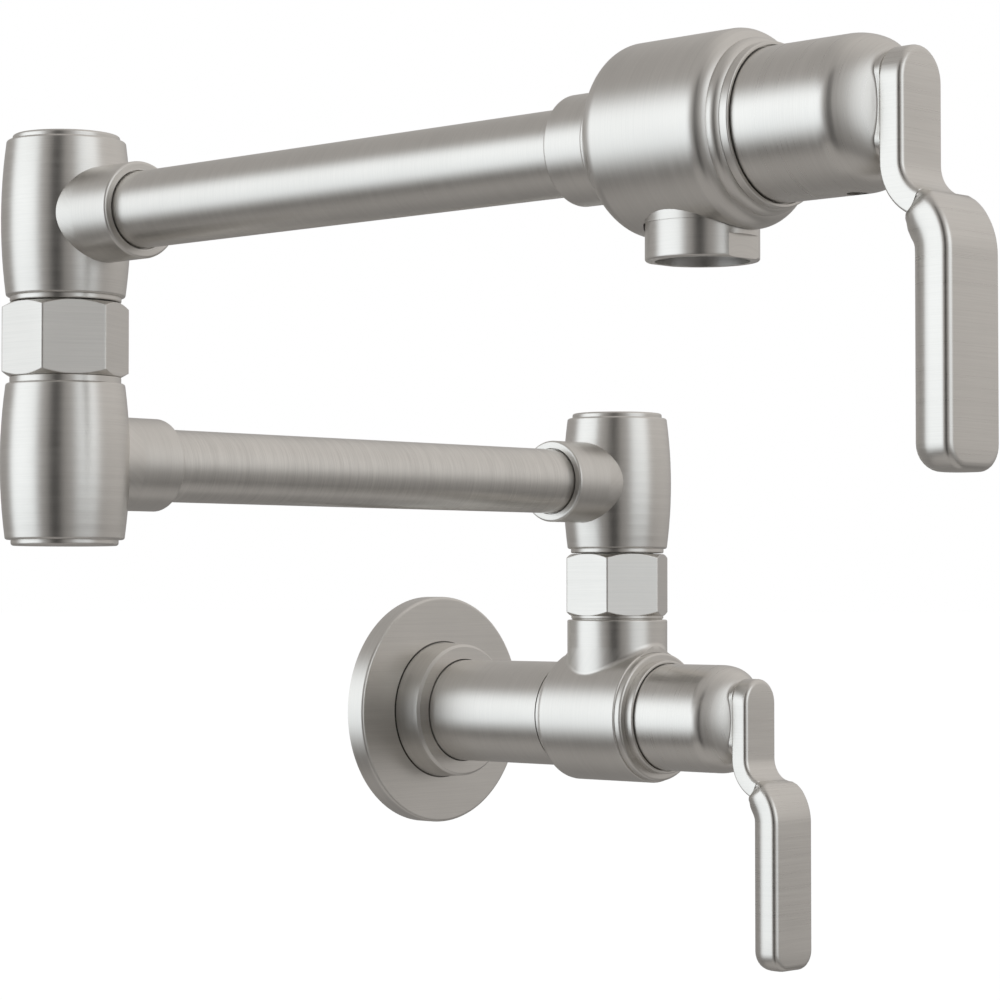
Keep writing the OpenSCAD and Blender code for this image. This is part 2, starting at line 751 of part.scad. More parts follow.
// Barrel that a spigot is screwed into, closed by a cap below
module fixed_barrel(direction) {
    thread_top = half_barrel + seat_lip_h;
    color(nickel) difference() {
        union() {
            turned(concat([[0, -half_barrel]], barrel_outline(), [[0, half_barrel]]));
            translate([0, 0, half_barrel]) lip(seat_lip_h);
            along(direction) socket_outside();
        }
        translate([0, 0, thread_top - tail_len - overrun])
            cylinder(r = tail_r + thread_fit, h = tail_len + 2 * overrun);
        translate([0, 0, -plug_bottom]) cylinder(r = water_r, h = thread_top + plug_bottom - overrun);
        translate([0, 0, -half_barrel - overrun])
            cylinder(r = plug_r + thread_fit, h = half_barrel - plug_bottom + overrun + thread_fit);
        along(direction) socket_inside();
    }
}

// Cap with a threaded plug, its head standing on the end of a barrel
module cap() {
    edge_r = min(cap_edge_r, cap_h / 2);
    color(nickel) difference() {
        union() {
            translate([0, 0, half_barrel]) turned(concat([[0, 0], [cap_r, 0]],
                arc_points(cap_r - edge_r, cap_h - edge_r, edge_r, edge_r, 0, 90), [[0, cap_h]]));
            translate([0, 0, plug_bottom]) cylinder(r = plug_r, h = half_barrel - plug_bottom + cap_h / 2);
        }
        translate([0, 0, plug_bottom - overrun]) cylinder(r = plug_r / 2, h = overrun + cap_h);
    }
}

module arm_tube(length) {
    color(nickel) difference() {
        cylinder(r = tube_r, h = length);
        translate([0, 0, -overrun]) cylinder(r = water_r, h = length + 2 * overrun);
    }
}

module lower_arm_tube() {
    at_post(lower_arm_z) along(180) translate([0, 0, tube_seat])
        arm_tube(lower_arm_len - 2 * tube_seat);
}

// Collar between the upper tube and the outlet body, with a threaded spigot
module outlet_collar() {
    collar_r = outlet_collar_d / 2;
    rear = -shoulder_back - outlet_rim_len;
    spigot_end = seat_z - seat_wall - show_gap;
    color(nickel) at_outlet_valve() difference() {
        union() {
            turned(concat([[0, collar_back]],
                arc_points(collar_r - step_r, collar_back + step_r, step_r, step_r, -90, 0),
                [[collar_r, rear], [0, rear]]));
            translate([0, 0, rear - overrun]) cylinder(r = collar_spigot_r, h = spigot_end - rear + overrun);
        }
        translate([0, 0, collar_back - overrun]) cylinder(r = tube_r + thread_fit, h = collar_tube_end + overrun);
        translate([0, 0, collar_back]) cylinder(r = water_r, h = spigot_end - collar_back + overrun);
        translate([0, 0, collar_back - overrun]) cylinder(r = tube_r + show_gap, h = 2 * overrun);
    }
}

module upper_arm_tube() {
    start = post_reach + tube_seat;
    end = outlet_reach + collar_back + collar_tube_end - show_gap;
    translate([-lower_arm_len, -start, upper_arm_z]) rotate([90, 0, 0]) arm_tube(end - start);
}

module outlet_valve_body() {
    rear = -shoulder_back - outlet_rim_len;
    rim_r = outlet_rim_d / 2;
    rim_edge = outlet_rim_len / 3;
    centre_r = outlet_body_r - outlet_shoulder_h;
    start_angle = asin((rim_r - rim_edge / 2 - centre_r) / outlet_shoulder_h);
    front_z = -shoulder_back + outlet_shoulder_len * cos(start_angle);
    port_r = nozzle_thread_r + thread_fit;
    color(nickel) at_outlet_valve() difference() {
        turned(concat(
            [[0, rear]],
            arc_points(rim_r - rim_edge, rear + rim_edge, rim_edge, rim_edge, -90, 60),
            [for (t = [0:2 * arc_steps]) let (a = start_angle + (90 - start_angle) * t / (2 * arc_steps))
                [centre_r + outlet_shoulder_h * sin(a), front_z - outlet_shoulder_len * cos(a)]],
            front_outline(outlet_body_r, outlet_body_front),
            [[0, ring_a_end]]));
        head_hollow();
        translate([0, 0, rear - overrun])
            cylinder(r = collar_spigot_r + thread_fit, h = seat_z - seat_wall - rear + overrun);
        rotate([90, 0, 0]) translate([0, 0, nozzle_top - running_fit])
            cylinder(r = port_r, h = nozzle_reach);
        rotate([90, 0, 0]) cylinder(r = port_water_r, h = nozzle_reach);
    }
}

// Nozzle with two wrench flats, its mouth facing down
module outlet_nozzle() {
    flat_top = nozzle_reach - nozzle_flat_h;
    color(nickel) at_outlet_valve() rotate([90, 0, 0]) difference() {
        turned(concat([[0, nozzle_top], [nozzle_thread_r, nozzle_top],
            [nozzle_thread_r, nozzle_thread_end], [nozzle_r, nozzle_thread_end]],
            arc_points(nozzle_r - nozzle_edge_r, nozzle_reach - nozzle_edge_r,
                nozzle_edge_r, nozzle_edge_r, 0, 90, 4),
            [[0, nozzle_reach]]));
        translate([0, 0, nozzle_top - overrun]) cylinder(r = port_water_r, h = nozzle_reach);
        translate([0, 0, aerator_seat]) cylinder(d = mouth_d, h = nozzle_reach);
        for (side = [-1, 1]) translate([-nozzle_d, side * (nozzle_af / 2 + nozzle_d / 2) - nozzle_d / 2, flat_top])
            cube([2 * nozzle_d, nozzle_d, nozzle_reach]);
    }
}

module aerator_washer() {
    color(rubber) at_outlet_valve() rotate([90, 0, 0])
        washer(mouth_d / 2 - show_gap, port_water_r, aerator_seat, aerator_seat + aerator_washer_t);
}

// Aerator insert with a rim and rings of jet holes
module aerator() {
    low = aerator_seat + aerator_washer_t + disc_gap;
    body_r = mouth_d / 2 - thread_fit;
    color(plastic) at_outlet_valve() rotate([90, 0, 0]) translate([0, 0, low]) difference() {
        cylinder(r = body_r, h = aerator_t);
        translate([0, 0, aerator_t - aerator_rim / 2]) cylinder(r = body_r - aerator_rim, h = aerator_rim);
        for (ring = [0:2]) for (k = [0:max(0, 6 * ring - 1)]) let (a = 360 * k / max(1, 6 * ring))
            translate([ring * jet_pitch * cos(a), ring * jet_pitch * sin(a), -overrun])
                cylinder(d = jet_d, h = aerator_t + 2 * overrun, $fn = 24);
    }
}

wall_flange();
flange_o_ring();
inlet_shank();
lower_valve_body();
at_lower_valve() bonnet_ring();  // lower_bonnet_ring
at_lower_valve() cartridge();  // lower_cartridge
at_lower_valve() seat_seal();  // lower_seat_seal
at_lower_valve() ceramic_disc(fixed_disc_z);  // lower_fixed_disc
at_lower_valve() ceramic_disc(moving_disc_z);  // lower_moving_disc
at_lower_valve() spindle();  // lower_spindle
at_lower_valve() handle();  // lower_handle
at_lower_valve() grub_screw();  // lower_grub_screw
at_post(post_hex_z) spigot(neck_h);  // post_spigot
at_post(lower_arm_z) swivel_o_rings();  // post_o_rings
at_post(lower_arm_z) swivel_bush();  // post_bush
at_post(lower_arm_z) turning_barrel(180);  // post_barrel
at_post(lower_arm_z) swivel_washer();  // post_washer
at_post(lower_arm_z) swivel_clip();  // post_clip
at_post(lower_arm_z) cap();  // post_cap
lower_arm_tube();
at_elbow(lower_arm_z) fixed_barrel(0);  // elbow_lower_barrel
at_elbow(lower_arm_z) mirror([0, 0, 1]) cap();  // elbow_lower_cap
at_elbow(elbow_seat_z) spigot(0);  // elbow_spigot
at_elbow(upper_arm_z) swivel_o_rings();  // elbow_o_rings
at_elbow(upper_arm_z) swivel_bush();  // elbow_bush
at_elbow(upper_arm_z) turning_barrel(-90);  // elbow_upper_barrel
at_elbow(upper_arm_z) swivel_washer();  // elbow_washer
at_elbow(upper_arm_z) swivel_clip();  // elbow_clip
at_elbow(upper_arm_z) cap();  // elbow_upper_cap
upper_arm_tube();
outlet_collar();
outlet_valve_body();
at_outlet_valve() bonnet_ring();  // upper_bonnet_ring
at_outlet_valve() cartridge();  // upper_cartridge
at_outlet_valve() seat_seal();  // upper_seat_seal
at_outlet_valve() ceramic_disc(fixed_disc_z);  // upper_fixed_disc
at_outlet_valve() ceramic_disc(moving_disc_z);  // upper_moving_disc
at_outlet_valve() spindle();  // upper_spindle
at_outlet_valve() handle();  // upper_handle
at_outlet_valve() grub_screw();  // upper_grub_screw
outlet_nozzle();
aerator_washer();
aerator();
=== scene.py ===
# %% [markdown]
# A wall mounted pot filler in brushed nickel.
# The CAD model is the frame of this lesson: it gives every turned part its place and its size.
# Here the parts get their finish, the two lever handles are modelled point by point in mesh code,
# a few soft corners and rings are turned, and a small studio lights it all as a catalogue
# photographer would.

# %% Load the frame
import math

import bmesh
import bpy
from mathutils import Matrix, Vector


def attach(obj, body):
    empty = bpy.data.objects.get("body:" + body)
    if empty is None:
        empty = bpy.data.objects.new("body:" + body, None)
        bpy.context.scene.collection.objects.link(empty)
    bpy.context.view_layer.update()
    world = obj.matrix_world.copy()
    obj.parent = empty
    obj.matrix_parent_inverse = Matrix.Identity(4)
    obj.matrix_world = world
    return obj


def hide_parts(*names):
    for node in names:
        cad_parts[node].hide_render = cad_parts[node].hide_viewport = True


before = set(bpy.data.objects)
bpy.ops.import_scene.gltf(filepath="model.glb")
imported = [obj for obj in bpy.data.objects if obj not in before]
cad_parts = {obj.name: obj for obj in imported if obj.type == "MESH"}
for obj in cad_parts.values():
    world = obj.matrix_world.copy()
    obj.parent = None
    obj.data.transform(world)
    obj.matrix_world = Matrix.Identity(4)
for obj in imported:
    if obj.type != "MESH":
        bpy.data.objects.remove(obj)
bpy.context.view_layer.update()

# %% [markdown]
# The maker's drawing is in millimetres and Blender works in metres, so one factor converts all sizes.
# Both swivels stand upright; the two valves point out of the wall, along -Y.
# These few places come from the drawing, and nearly everything below is measured from them.
# Each lever's hub starts a little in front of its valve, at the handle gap.

# %% The main axes and heights
MM = 0.001
POST = (0.0, -80.8)
ELBOW = (-213.0, -80.8)
OUTLET = (-213.0, -290.6)
LOWER_ARM_Z = 70.45
UPPER_ARM_Z = 132.15
HANDLE_GAP = 20.6
print("swivels at", POST, "and", ELBOW, "and outlet at", OUTLET, "in mm")

# %% [markdown]
# The photographer stood in front of the tap and to its left, about a metre away, with a long lens.
# The camera is placed by its position and the direction it looks in, and turned with a quaternion
# that points its -Z axis along that direction and keeps +Y upright.

# %% The camera
CAMERA_PLACE = (-701.12, -693.83, 36.76)
CAMERA_LOOKS = (0.7267, 0.6863, 0.0309)
LENS = 109.98

camera_data = bpy.data.cameras.new("camera")
camera_data.sensor_width = 36.0
camera_data.lens = LENS
camera_data.clip_start = 0.01
camera = bpy.data.objects.new("camera", camera_data)
camera.location = Vector(CAMERA_PLACE) * MM
camera.rotation_euler = Vector(CAMERA_LOOKS).to_track_quat("-Z", "Y").to_euler()
bpy.context.scene.collection.objects.link(camera)
bpy.context.scene.camera = camera
bpy.context.scene.view_settings.view_transform = "Standard"
print("camera lens:", camera_data.lens, "mm")

# %% [markdown]
# Shaders are built from nodes. A few short helpers keep the recipes readable. One adds a node and
# plugs its sockets, the next three do a step of arithmetic on numbers or on vectors, and a ramp
# turns one range of values into another with soft ends. The last one starts an empty material.

# %% Helpers for shader nodes
def add_node(tree, kind, sockets=None, **settings):
    node = tree.nodes.new(kind)
    for name, value in settings.items():
        setattr(node, name, value)
    for socket, value in (sockets or {}).items():
        if isinstance(value, bpy.types.NodeSocket):
            tree.links.new(value, node.inputs[socket])
        else:
            node.inputs[socket].default_value = value
    return node


def figure(tree, operation, first, second=0.0):
    return add_node(tree, "ShaderNodeMath", {0: first, 1: second}, operation=operation).outputs[0]


def arrow(tree, operation, first, second=(0.0, 0.0, 0.0)):
    node = add_node(tree, "ShaderNodeVectorMath", {0: first, 1: second}, operation=operation)
    return node.outputs["Value" if operation in ("DOT_PRODUCT", "LENGTH") else "Vector"]


def scaled(tree, vector, amount):
    node = add_node(tree, "ShaderNodeVectorMath", {0: vector, "Scale": amount}, operation="SCALE")
    return node.outputs["Vector"]


def ramp(tree, value, start, end, low=0.0, high=1.0):
    ends = {"Value": value, "From Min": start, "From Max": end, "To Min": low, "To Max": high}
    return add_node(tree, "ShaderNodeMapRange", ends, interpolation_type="SMOOTHSTEP").outputs["Result"]


def empty_material(name):
    material = bpy.data.materials.new(name)
    material.use_nodes = True
    material.node_tree.nodes.clear()
    return material, material.node_tree


# %% [markdown]
# Brushed metal shows its surroundings more than itself, so the studio matters as much as the finish.
# A world shader can hold a whole studio: each item in it is a patch of directions, bright or dark,
# with soft edges. A direction is given as a bearing and a height in degrees. The bearing is 0 on the
# left of the tap, seen from the room, and 90 straight in front of the wall.

# %% Bearing and height
world = bpy.data.worlds.new("studio")
bpy.context.scene.world = world
world.use_nodes = True
tree = world.node_tree
tree.nodes.clear()
direction = add_node(tree, "ShaderNodeTexCoord").outputs["Generated"]
parts = add_node(tree, "ShaderNodeSeparateXYZ", {0: direction})
to_front = figure(tree, "MULTIPLY", parts.outputs["Y"], -1.0)
to_left = figure(tree, "MULTIPLY", parts.outputs["X"], -1.0)
bearing = figure(tree, "MULTIPLY", figure(tree, "ARCTAN2", to_front, to_left), math.degrees(1.0))
height = figure(tree, "MULTIPLY", figure(tree, "ARCSINE", parts.outputs["Z"]), math.degrees(1.0))


def window(tree, value, low, high, soft):
    rise = ramp(tree, value, low - soft, low + soft)
    fall = ramp(tree, value, high - soft, high + soft, 1.0, 0.0)
    return figure(tree, "MULTIPLY", rise, fall)


def patch(tree, across, across_soft, up, up_soft):
    return figure(tree, "MULTIPLY", window(tree, bearing, *across, across_soft),
        window(tree, height, *up, up_soft))


# %% [markdown]
# The photographer's set has a large softbox on the left, a second one in front on the right,
# a narrow black flag just left of the camera that draws the dark line down every barrel,
# a pale table low on the left with a darker edge, plain grey all round and a glow from above.

# %% The set
LEFT_BOX = dict(across=(-61.0, -0.5), across_soft=10.0, up=(-21.0, 31.0), up_soft=13.0)
FRONT_BOX = dict(across=(71.5, 113.0), across_soft=11.0, up=(-9.0, 37.0), up_soft=12.0)
BLACK_FLAG = dict(across=(22.5, 45.5), across_soft=6.5, up=(-50.0, 50.0), up_soft=10.0)
FRONT_BOX_LEVEL = 0.76
FLAG_DARKNESS = 0.92
WALL_LOW, WALL_HIGH = 0.272, 0.42
TABLE_LEVEL = 0.15
TABLE_EDGE_DARKNESS = 0.09
GLOW_FROM = (0.68, -0.35, 0.64)
GLOW_LEVEL = 0.27

walls = ramp(tree, height, -16.0, 14.0, WALL_LOW, WALL_HIGH)
table_side = ramp(tree, bearing, -135.0, -60.0)
table = figure(tree, "MULTIPLY", table_side, ramp(tree, height, -46.0, -39.0, TABLE_LEVEL, 0.0))
table_edge = figure(tree, "MULTIPLY", window(tree, height, -38.0, -31.0, 3.0), TABLE_EDGE_DARKNESS)
table_edge = figure(tree, "MULTIPLY", table_side, table_edge)
walls = figure(tree, "ADD", walls, figure(tree, "SUBTRACT", table, table_edge))
glow = figure(tree, "MULTIPLY", ramp(tree, arrow(tree, "DOT_PRODUCT", direction, GLOW_FROM), 0.35, 1.0),
    GLOW_LEVEL)
unlit = figure(tree, "SUBTRACT", 1.0, figure(tree, "MULTIPLY", patch(tree, **BLACK_FLAG), FLAG_DARKNESS))
grey_level = figure(tree, "MULTIPLY", figure(tree, "ADD", walls, glow), unlit)
front_light = figure(tree, "MULTIPLY", patch(tree, **FRONT_BOX), FRONT_BOX_LEVEL)
box_level = figure(tree, "MULTIPLY", figure(tree, "ADD", patch(tree, **LEFT_BOX), front_light), unlit)
print("the studio has", len(tree.nodes), "nodes")

# %% [markdown]
# Rays of three kinds ask the world for its colour. The camera sees a plain white backdrop.
# Rays that leave the metal as reflections see the studio itself, with warm grey walls and cooler boxes,
# and rays from matt surfaces get an even light, so a moulded part shows its colour as it is.

# %% What each kind of ray sees
WALL_TINT = (0.995, 0.96, 0.93)
BOX_TINT = (0.945, 1.02, 1.08)
WHITE = (1.0, 1.0, 1.0, 1.0)

studio_colour = arrow(tree, "ADD", scaled(tree, WALL_TINT, grey_level), scaled(tree, BOX_TINT, box_level))
ray = add_node(tree, "ShaderNodeLightPath")
from_metal = figure(tree, "MAXIMUM", ray.outputs["Is Glossy Ray"], ray.outputs["Is Transmission Ray"])
backdrop = add_node(tree, "ShaderNodeMixShader", {0: from_metal})
white = add_node(tree, "ShaderNodeBackground", {"Color": WHITE, "Strength": 1.0})
studio = add_node(tree, "ShaderNodeBackground", {"Color": studio_colour, "Strength": 1.0})
tree.links.new(white.outputs[0], backdrop.inputs[1])
tree.links.new(studio.outputs[0], backdrop.inputs[2])
add_node(tree, "ShaderNodeOutputWorld", {"Surface": backdrop.outputs[0]})

# %% [markdown]
# A soft lamp high on the left gives the floor a gentle shadow. The metal doesn't mirror the lamp.

# %% The lamp
LAMP_PLACE = (-0.75, -0.45, 1.3)
LAMP_AIM = (-0.1, -0.15, 0.0)

lamp_data = bpy.data.lights.new("soft_lamp", "AREA")
lamp_data.size = 0.9
lamp_data.energy = 9.0
lamp = bpy.data.objects.new("soft_lamp", lamp_data)
lamp.location = LAMP_PLACE
lamp.rotation_euler = (Vector(LAMP_AIM) - lamp.location).to_track_quat("-Z", "Y").to_euler()
lamp.visible_glossy = False
bpy.context.scene.collection.objects.link(lamp)

# %% [markdown]
# The floor is a plain pale sheet well below the tap. It is matt, so it only needs a diffuse shader.
# The camera sees it mixed with white, so that it runs into the backdrop and still keeps the shadow.
# Reflections pass through it: the studio in the world has its own grey below the horizon.

# %% The floor
FLOOR_Z = -0.42
FLOOR_HALF = 60.0
FLOOR_GREY = (0.93, 0.93, 0.93, 1.0)
FLOOR_CORNERS = ((-1, -1), (1, -1), (1, 1), (-1, 1))
WHITE_SHARE = 0.6

floor_mesh = bpy.data.meshes.new("floor")
floor_mesh.from_pydata([(x * FLOOR_HALF, y * FLOOR_HALF, FLOOR_Z) for x, y in FLOOR_CORNERS], [],
    [(0, 1, 2, 3)])
floor = bpy.data.objects.new("floor", floor_mesh)
bpy.context.scene.collection.objects.link(floor)

paint, tree = empty_material("floor_paint")
ray = add_node(tree, "ShaderNodeLightPath")
pale = add_node(tree, "ShaderNodeBsdfDiffuse", {"Color": FLOOR_GREY})
glow_white = add_node(tree, "ShaderNodeEmission", {"Color": WHITE, "Strength": 1.07})
seen_share = figure(tree, "MULTIPLY", ray.outputs["Is Camera Ray"], WHITE_SHARE)
to_camera = add_node(tree, "ShaderNodeMixShader", {0: seen_share, 1: pale.outputs[0],
    2: glow_white.outputs[0]})
clear = add_node(tree, "ShaderNodeBsdfTransparent")
to_metal = add_node(tree, "ShaderNodeMixShader", {0: ray.outputs["Is Glossy Ray"], 1: to_camera.outputs[0],
    2: clear.outputs[0]})
add_node(tree, "ShaderNodeOutputMaterial", {"Surface": to_metal.outputs[0]})
floor_mesh.materials.append(paint)
print("the floor lies", -FLOOR_Z, "m below the inlet")

# %% [markdown]
# Brushed nickel has fine parallel scratches. On a turned part they run round its axis,
# and on the flat sides of the hexagons and the levers they run level, across the face.
# Two things make the eye see them: faint streaks, and a highlight that is smeared across the scratches.
# The streaks come from noise that is squeezed along one direction and stretched along the other.
# So each kind of grain gives two vectors: the place to read the noise at, and the scratch's direction.

# %% The direction and the streaks of one grain
STREAKS_PER_M = 3400.0
STREAK_TURNS = 1.3
STREAKS_ALONG_M = 45.0
AXES = {"X": (1.0, 0.0, 0.0), "Y": (0.0, 1.0, 0.0), "Z": (0.0, 0.0, 1.0)}


def turned_grain(tree, place, axis, centre):
    offset = arrow(tree, "SUBTRACT", place, tuple(value * MM for value in centre))
    along = arrow(tree, "DOT_PRODUCT", offset, AXES[axis])
    outward = arrow(tree, "SUBTRACT", offset, scaled(tree, AXES[axis], along))
    profile = figure(tree, "ADD", along, arrow(tree, "LENGTH", outward))
    round_part = scaled(tree, arrow(tree, "NORMALIZE", outward), STREAK_TURNS)
    long_part = scaled(tree, AXES[axis], figure(tree, "MULTIPLY", profile, STREAKS_PER_M))
    scratch = arrow(tree, "CROSS_PRODUCT", AXES[axis], offset)
    return arrow(tree, "ADD", round_part, long_part), scratch


def level_grain(tree, place, normal):
    squeezed = arrow(tree, "MULTIPLY", place, (STREAKS_ALONG_M, STREAKS_ALONG_M, STREAKS_PER_M))
    scratch = arrow(tree, "CROSS_PRODUCT", AXES["Z"], arrow(tree, "ADD", normal, (0.0, 0.01, 0.0)))
    return squeezed, scratch


# %% [markdown]
# One material can need two grains: the barrel of a swivel is turned about the upright axis,
# but its socket is turned about the tube. A mask picks the grain. Each further grain names a coordinate
# and the band in which it holds, either of the place in millimetres or of the surface's normal.

# %% Two or more grains in one material
FAR = 1000.0


def turned(axis, centre, **region):
    return dict(kind="turned", axis=axis, centre=centre, **region)


def level_lines(**region):
    return dict(kind="level", **region)


def grain_mask(tree, grain, place, own_normal):
    by_normal = grain.get("by") == "normal"
    source = own_normal if by_normal else place
    value = add_node(tree, "ShaderNodeSeparateXYZ", {0: source}).outputs[grain["where"]]
    if by_normal:
        value = figure(tree, "ABSOLUTE", value)
    unit = 1.0 if by_normal else MM
    above = figure(tree, "GREATER_THAN", value, grain["low"] * unit)
    return figure(tree, "MULTIPLY", above, figure(tree, "LESS_THAN", value, grain["high"] * unit))


def pick(tree, mask, first, second):
    node = tree.nodes.new("ShaderNodeMix")
    node.data_type = "VECTOR"
    tree.links.new(mask, node.inputs[0])
    tree.links.new(first, node.inputs[4])
    tree.links.new(second, node.inputs[5])
    return node.outputs[1]


def grain_vectors(tree, grains, place, own_normal):
    chosen = None
    for grain in grains:
        if grain["kind"] == "turned":
            vectors = turned_grain(tree, place, grain["axis"], grain["centre"])
        else:
            vectors = level_grain(tree, place, own_normal)
        if chosen is None:
            chosen = vectors
        else:
            mask = grain_mask(tree, grain, place, own_normal)
            chosen = [pick(tree, mask, *pair) for pair in zip(chosen, vectors)]
    return chosen


# %% [markdown]
# Now the metal itself. The streaks make its colour and its gloss a little uneven, and a very shallow bump
# catches the light on them. The smear is the shader's anisotropy, and its tangent has to point across
# the scratches. Two extras can be asked for: the Bevel node rounds the look of an edge that is sharp
# in the mesh, and a thin dark ring is painted shade: the shadow in a corner, painted into the colour.

# %% Brushed nickel
NICKEL = (0.715, 0.697, 0.665)
STREAK_BAND = (0.30, 0.70)
FINE_SHARE, BROAD_SHARE = 0.6, 0.4
BROAD_SCALE = 0.22
STREAK_DARK, STREAK_LIGHT = 0.075, 0.06
CLOUDS_PER_M = 55.0
GLOSS_SWING = 0.035
BUMP_STRENGTH = 0.12
BUMP_DEPTH_M = 0.00002
# painted shade: how much the thin ring in a corner is darkened, a shadow painted into the colour
PAINTED_SHADE_DARKNESS = 0.8


# painted shade: a thin ring at the given radius, in front of the given depth, darkened as if that corner lay
# in shadow
def painted_corner_shade(tree, place, radius, wide, behind):
    spot = add_node(tree, "ShaderNodeSeparateXYZ", {0: place})
    flat_spot = add_node(tree, "ShaderNodeCombineXYZ", {0: spot.outputs["X"], 2: spot.outputs["Z"]})
    beside = figure(tree, "SUBTRACT", arrow(tree, "LENGTH", flat_spot.outputs[0]), radius * MM)
    line = figure(tree, "LESS_THAN", figure(tree, "ABSOLUTE", beside), wide * MM)
    front = figure(tree, "GREATER_THAN", spot.outputs["Y"], behind * MM)
    return figure(tree, "SUBTRACT", 1.0,
        figure(tree, "MULTIPLY", figure(tree, "MULTIPLY", line, front), PAINTED_SHADE_DARKNESS))


def brushed_nickel(name, grains, roughness=0.32, smear=0.45, streak=0.62, corner=0.0, painted_shadow=None):
    material, tree = empty_material(name)
    place = add_node(tree, "ShaderNodeTexCoord").outputs["Object"]
    normal = add_node(tree, "ShaderNodeNewGeometry").outputs["Normal"]
    own_normal = add_node(tree, "ShaderNodeVectorTransform", {0: normal}, vector_type="NORMAL",
        convert_from="WORLD", convert_to="OBJECT").outputs[0]
    pattern, scratch = grain_vectors(tree, grains, place, own_normal)

    fine = add_node(tree, "ShaderNodeTexNoise", {"Vector": pattern, "Scale": 1.0, "Detail": 3.0,
        "Roughness": 0.65})
    broad = add_node(tree, "ShaderNodeTexNoise", {"Vector": pattern, "Scale": BROAD_SCALE, "Detail": 2.0})
    cloud = add_node(tree, "ShaderNodeTexNoise", {"Vector": place, "Scale": CLOUDS_PER_M, "Detail": 2.0})
    streaks = figure(tree, "ADD", figure(tree, "MULTIPLY", fine.outputs["Fac"], FINE_SHARE),
        figure(tree, "MULTIPLY", broad.outputs["Fac"], BROAD_SHARE))
    shade = ramp(tree, streaks, *STREAK_BAND, 1.0 - STREAK_DARK * streak, 1.0 + STREAK_LIGHT * streak)
    shade = figure(tree, "MULTIPLY", shade, ramp(tree, cloud.outputs["Fac"], 0.3, 0.7, 0.985, 1.015))
    # painted shade: the corner's shadow is painted into the colour here
    if painted_shadow:
        shade = figure(tree, "MULTIPLY", shade, painted_corner_shade(tree, place, **painted_shadow))
    gloss = ramp(tree, streaks, *STREAK_BAND, roughness - GLOSS_SWING, roughness + GLOSS_SWING)
    bump = add_node(tree, "ShaderNodeBump", {"Strength": BUMP_STRENGTH * streak, "Distance": BUMP_DEPTH_M,
        "Height": streaks})
    if corner > 0.0:
        rounded = add_node(tree, "ShaderNodeBevel", {"Radius": corner * MM}, samples=6)
        tree.links.new(rounded.outputs[0], bump.inputs["Normal"])

    world_scratch = add_node(tree, "ShaderNodeVectorTransform", {0: scratch}, vector_type="VECTOR",
        convert_from="OBJECT", convert_to="WORLD").outputs[0]
    tangent = arrow(tree, "NORMALIZE", arrow(tree, "CROSS_PRODUCT", normal, world_scratch))
    shader = add_node(tree, "ShaderNodeBsdfPrincipled", {"Base Color": scaled(tree, NICKEL, shade),
        "Metallic": 1.0, "Roughness": gloss, "Anisotropic": smear, "Tangent": tangent,
        "Normal": bump.outputs["Normal"]})
    add_node(tree, "ShaderNodeOutputMaterial", {"Surface": shader.outputs[0]})
    return material


# %% [markdown]
# Each visible part now gets the grain that its making leaves on it.
# The wall flange is brushed level across its disc, and its rim and collar are turned. A thin dark line
# of painted shade marks the corner at the collar's foot.
# The body of the lower valve is turned about the valve's axis and its stub about the upright one.
# Each barrel is turned about its swivel, and from the foot of its socket on about the tube.

# %% Finishes of the visible turned parts
LOWER_VALVE = (0.0, 0.0, 0.0)
OUTLET_VALVE = (OUTLET[0], 0.0, UPPER_ARM_Z)
LOWER_TUBE = (0.0, POST[1], LOWER_ARM_Z)
POST_CENTRE = (*POST, 0.0)
ELBOW_CENTRE = (*ELBOW, 0.0)
OUTLET_CENTRE = (*OUTLET, 0.0)
DISC_FACE = dict(by="normal", where="Y", low=0.97, high=2.0)
STUB_FOOT = 20.6
SOCKET_FOOT = 16.6

# the wall flange gets a painted shadow: a thin dark ring at the collar's foot
flange_nickel = brushed_nickel("flange_nickel", [turned("Y", LOWER_VALVE), level_lines(**DISC_FACE)],
    painted_shadow=dict(radius=21.6, wide=0.22, behind=-6.75))
lower_body_nickel = brushed_nickel("lower_body_nickel", [turned("Y", LOWER_VALVE),
    turned("Z", POST_CENTRE, where="Z", low=STUB_FOOT, high=FAR)])
outlet_nickel = brushed_nickel("outlet_nickel", [turned("Y", OUTLET_VALVE)])
nozzle_nickel = brushed_nickel("nozzle_nickel", [turned("Z", OUTLET_CENTRE)])
post_nickel = brushed_nickel("post_nickel", [turned("Z", POST_CENTRE),
    turned("X", LOWER_TUBE, where="X", low=-FAR, high=POST[0] - SOCKET_FOOT)])
elbow_lower_nickel = brushed_nickel("elbow_lower_nickel", [turned("Z", ELBOW_CENTRE),
    turned("X", LOWER_TUBE, where="X", low=ELBOW[0] + SOCKET_FOOT, high=FAR)])
elbow_upper_nickel = brushed_nickel("elbow_upper_nickel", [turned("Z", ELBOW_CENTRE),
    turned("Y", OUTLET_VALVE, where="Y", low=-FAR, high=ELBOW[1] - SOCKET_FOOT)])
lower_tube_nickel = brushed_nickel("lower_tube_nickel", [turned("X", LOWER_TUBE)], streak=1.3)
hex_nickel = brushed_nickel("hex_nickel", [level_lines()], streak=0.8, corner=0.4)

FINISHES = {}
for stuff, nodes in (
        (flange_nickel, ("wall_flange",)),
        (lower_body_nickel, ("inlet_shank", "lower_valve_body", "lower_bonnet_ring")),
        (hex_nickel, ("post_spigot", "elbow_spigot")),
        (post_nickel, ("post_barrel", "post_cap")),
        (lower_tube_nickel, ("lower_arm_tube",)),
        (elbow_lower_nickel, ("elbow_lower_barrel", "elbow_lower_cap")),
        (elbow_upper_nickel, ("elbow_upper_barrel", "elbow_upper_cap")),
        (outlet_nickel, ("upper_arm_tube", "outlet_collar", "outlet_valve_body", "upper_bonnet_ring")),
        (nozzle_nickel, ("outlet_nozzle",))):
    FINISHES.update({node: stuff for node in nodes})
print("turned parts with a finish:", len(FINISHES))

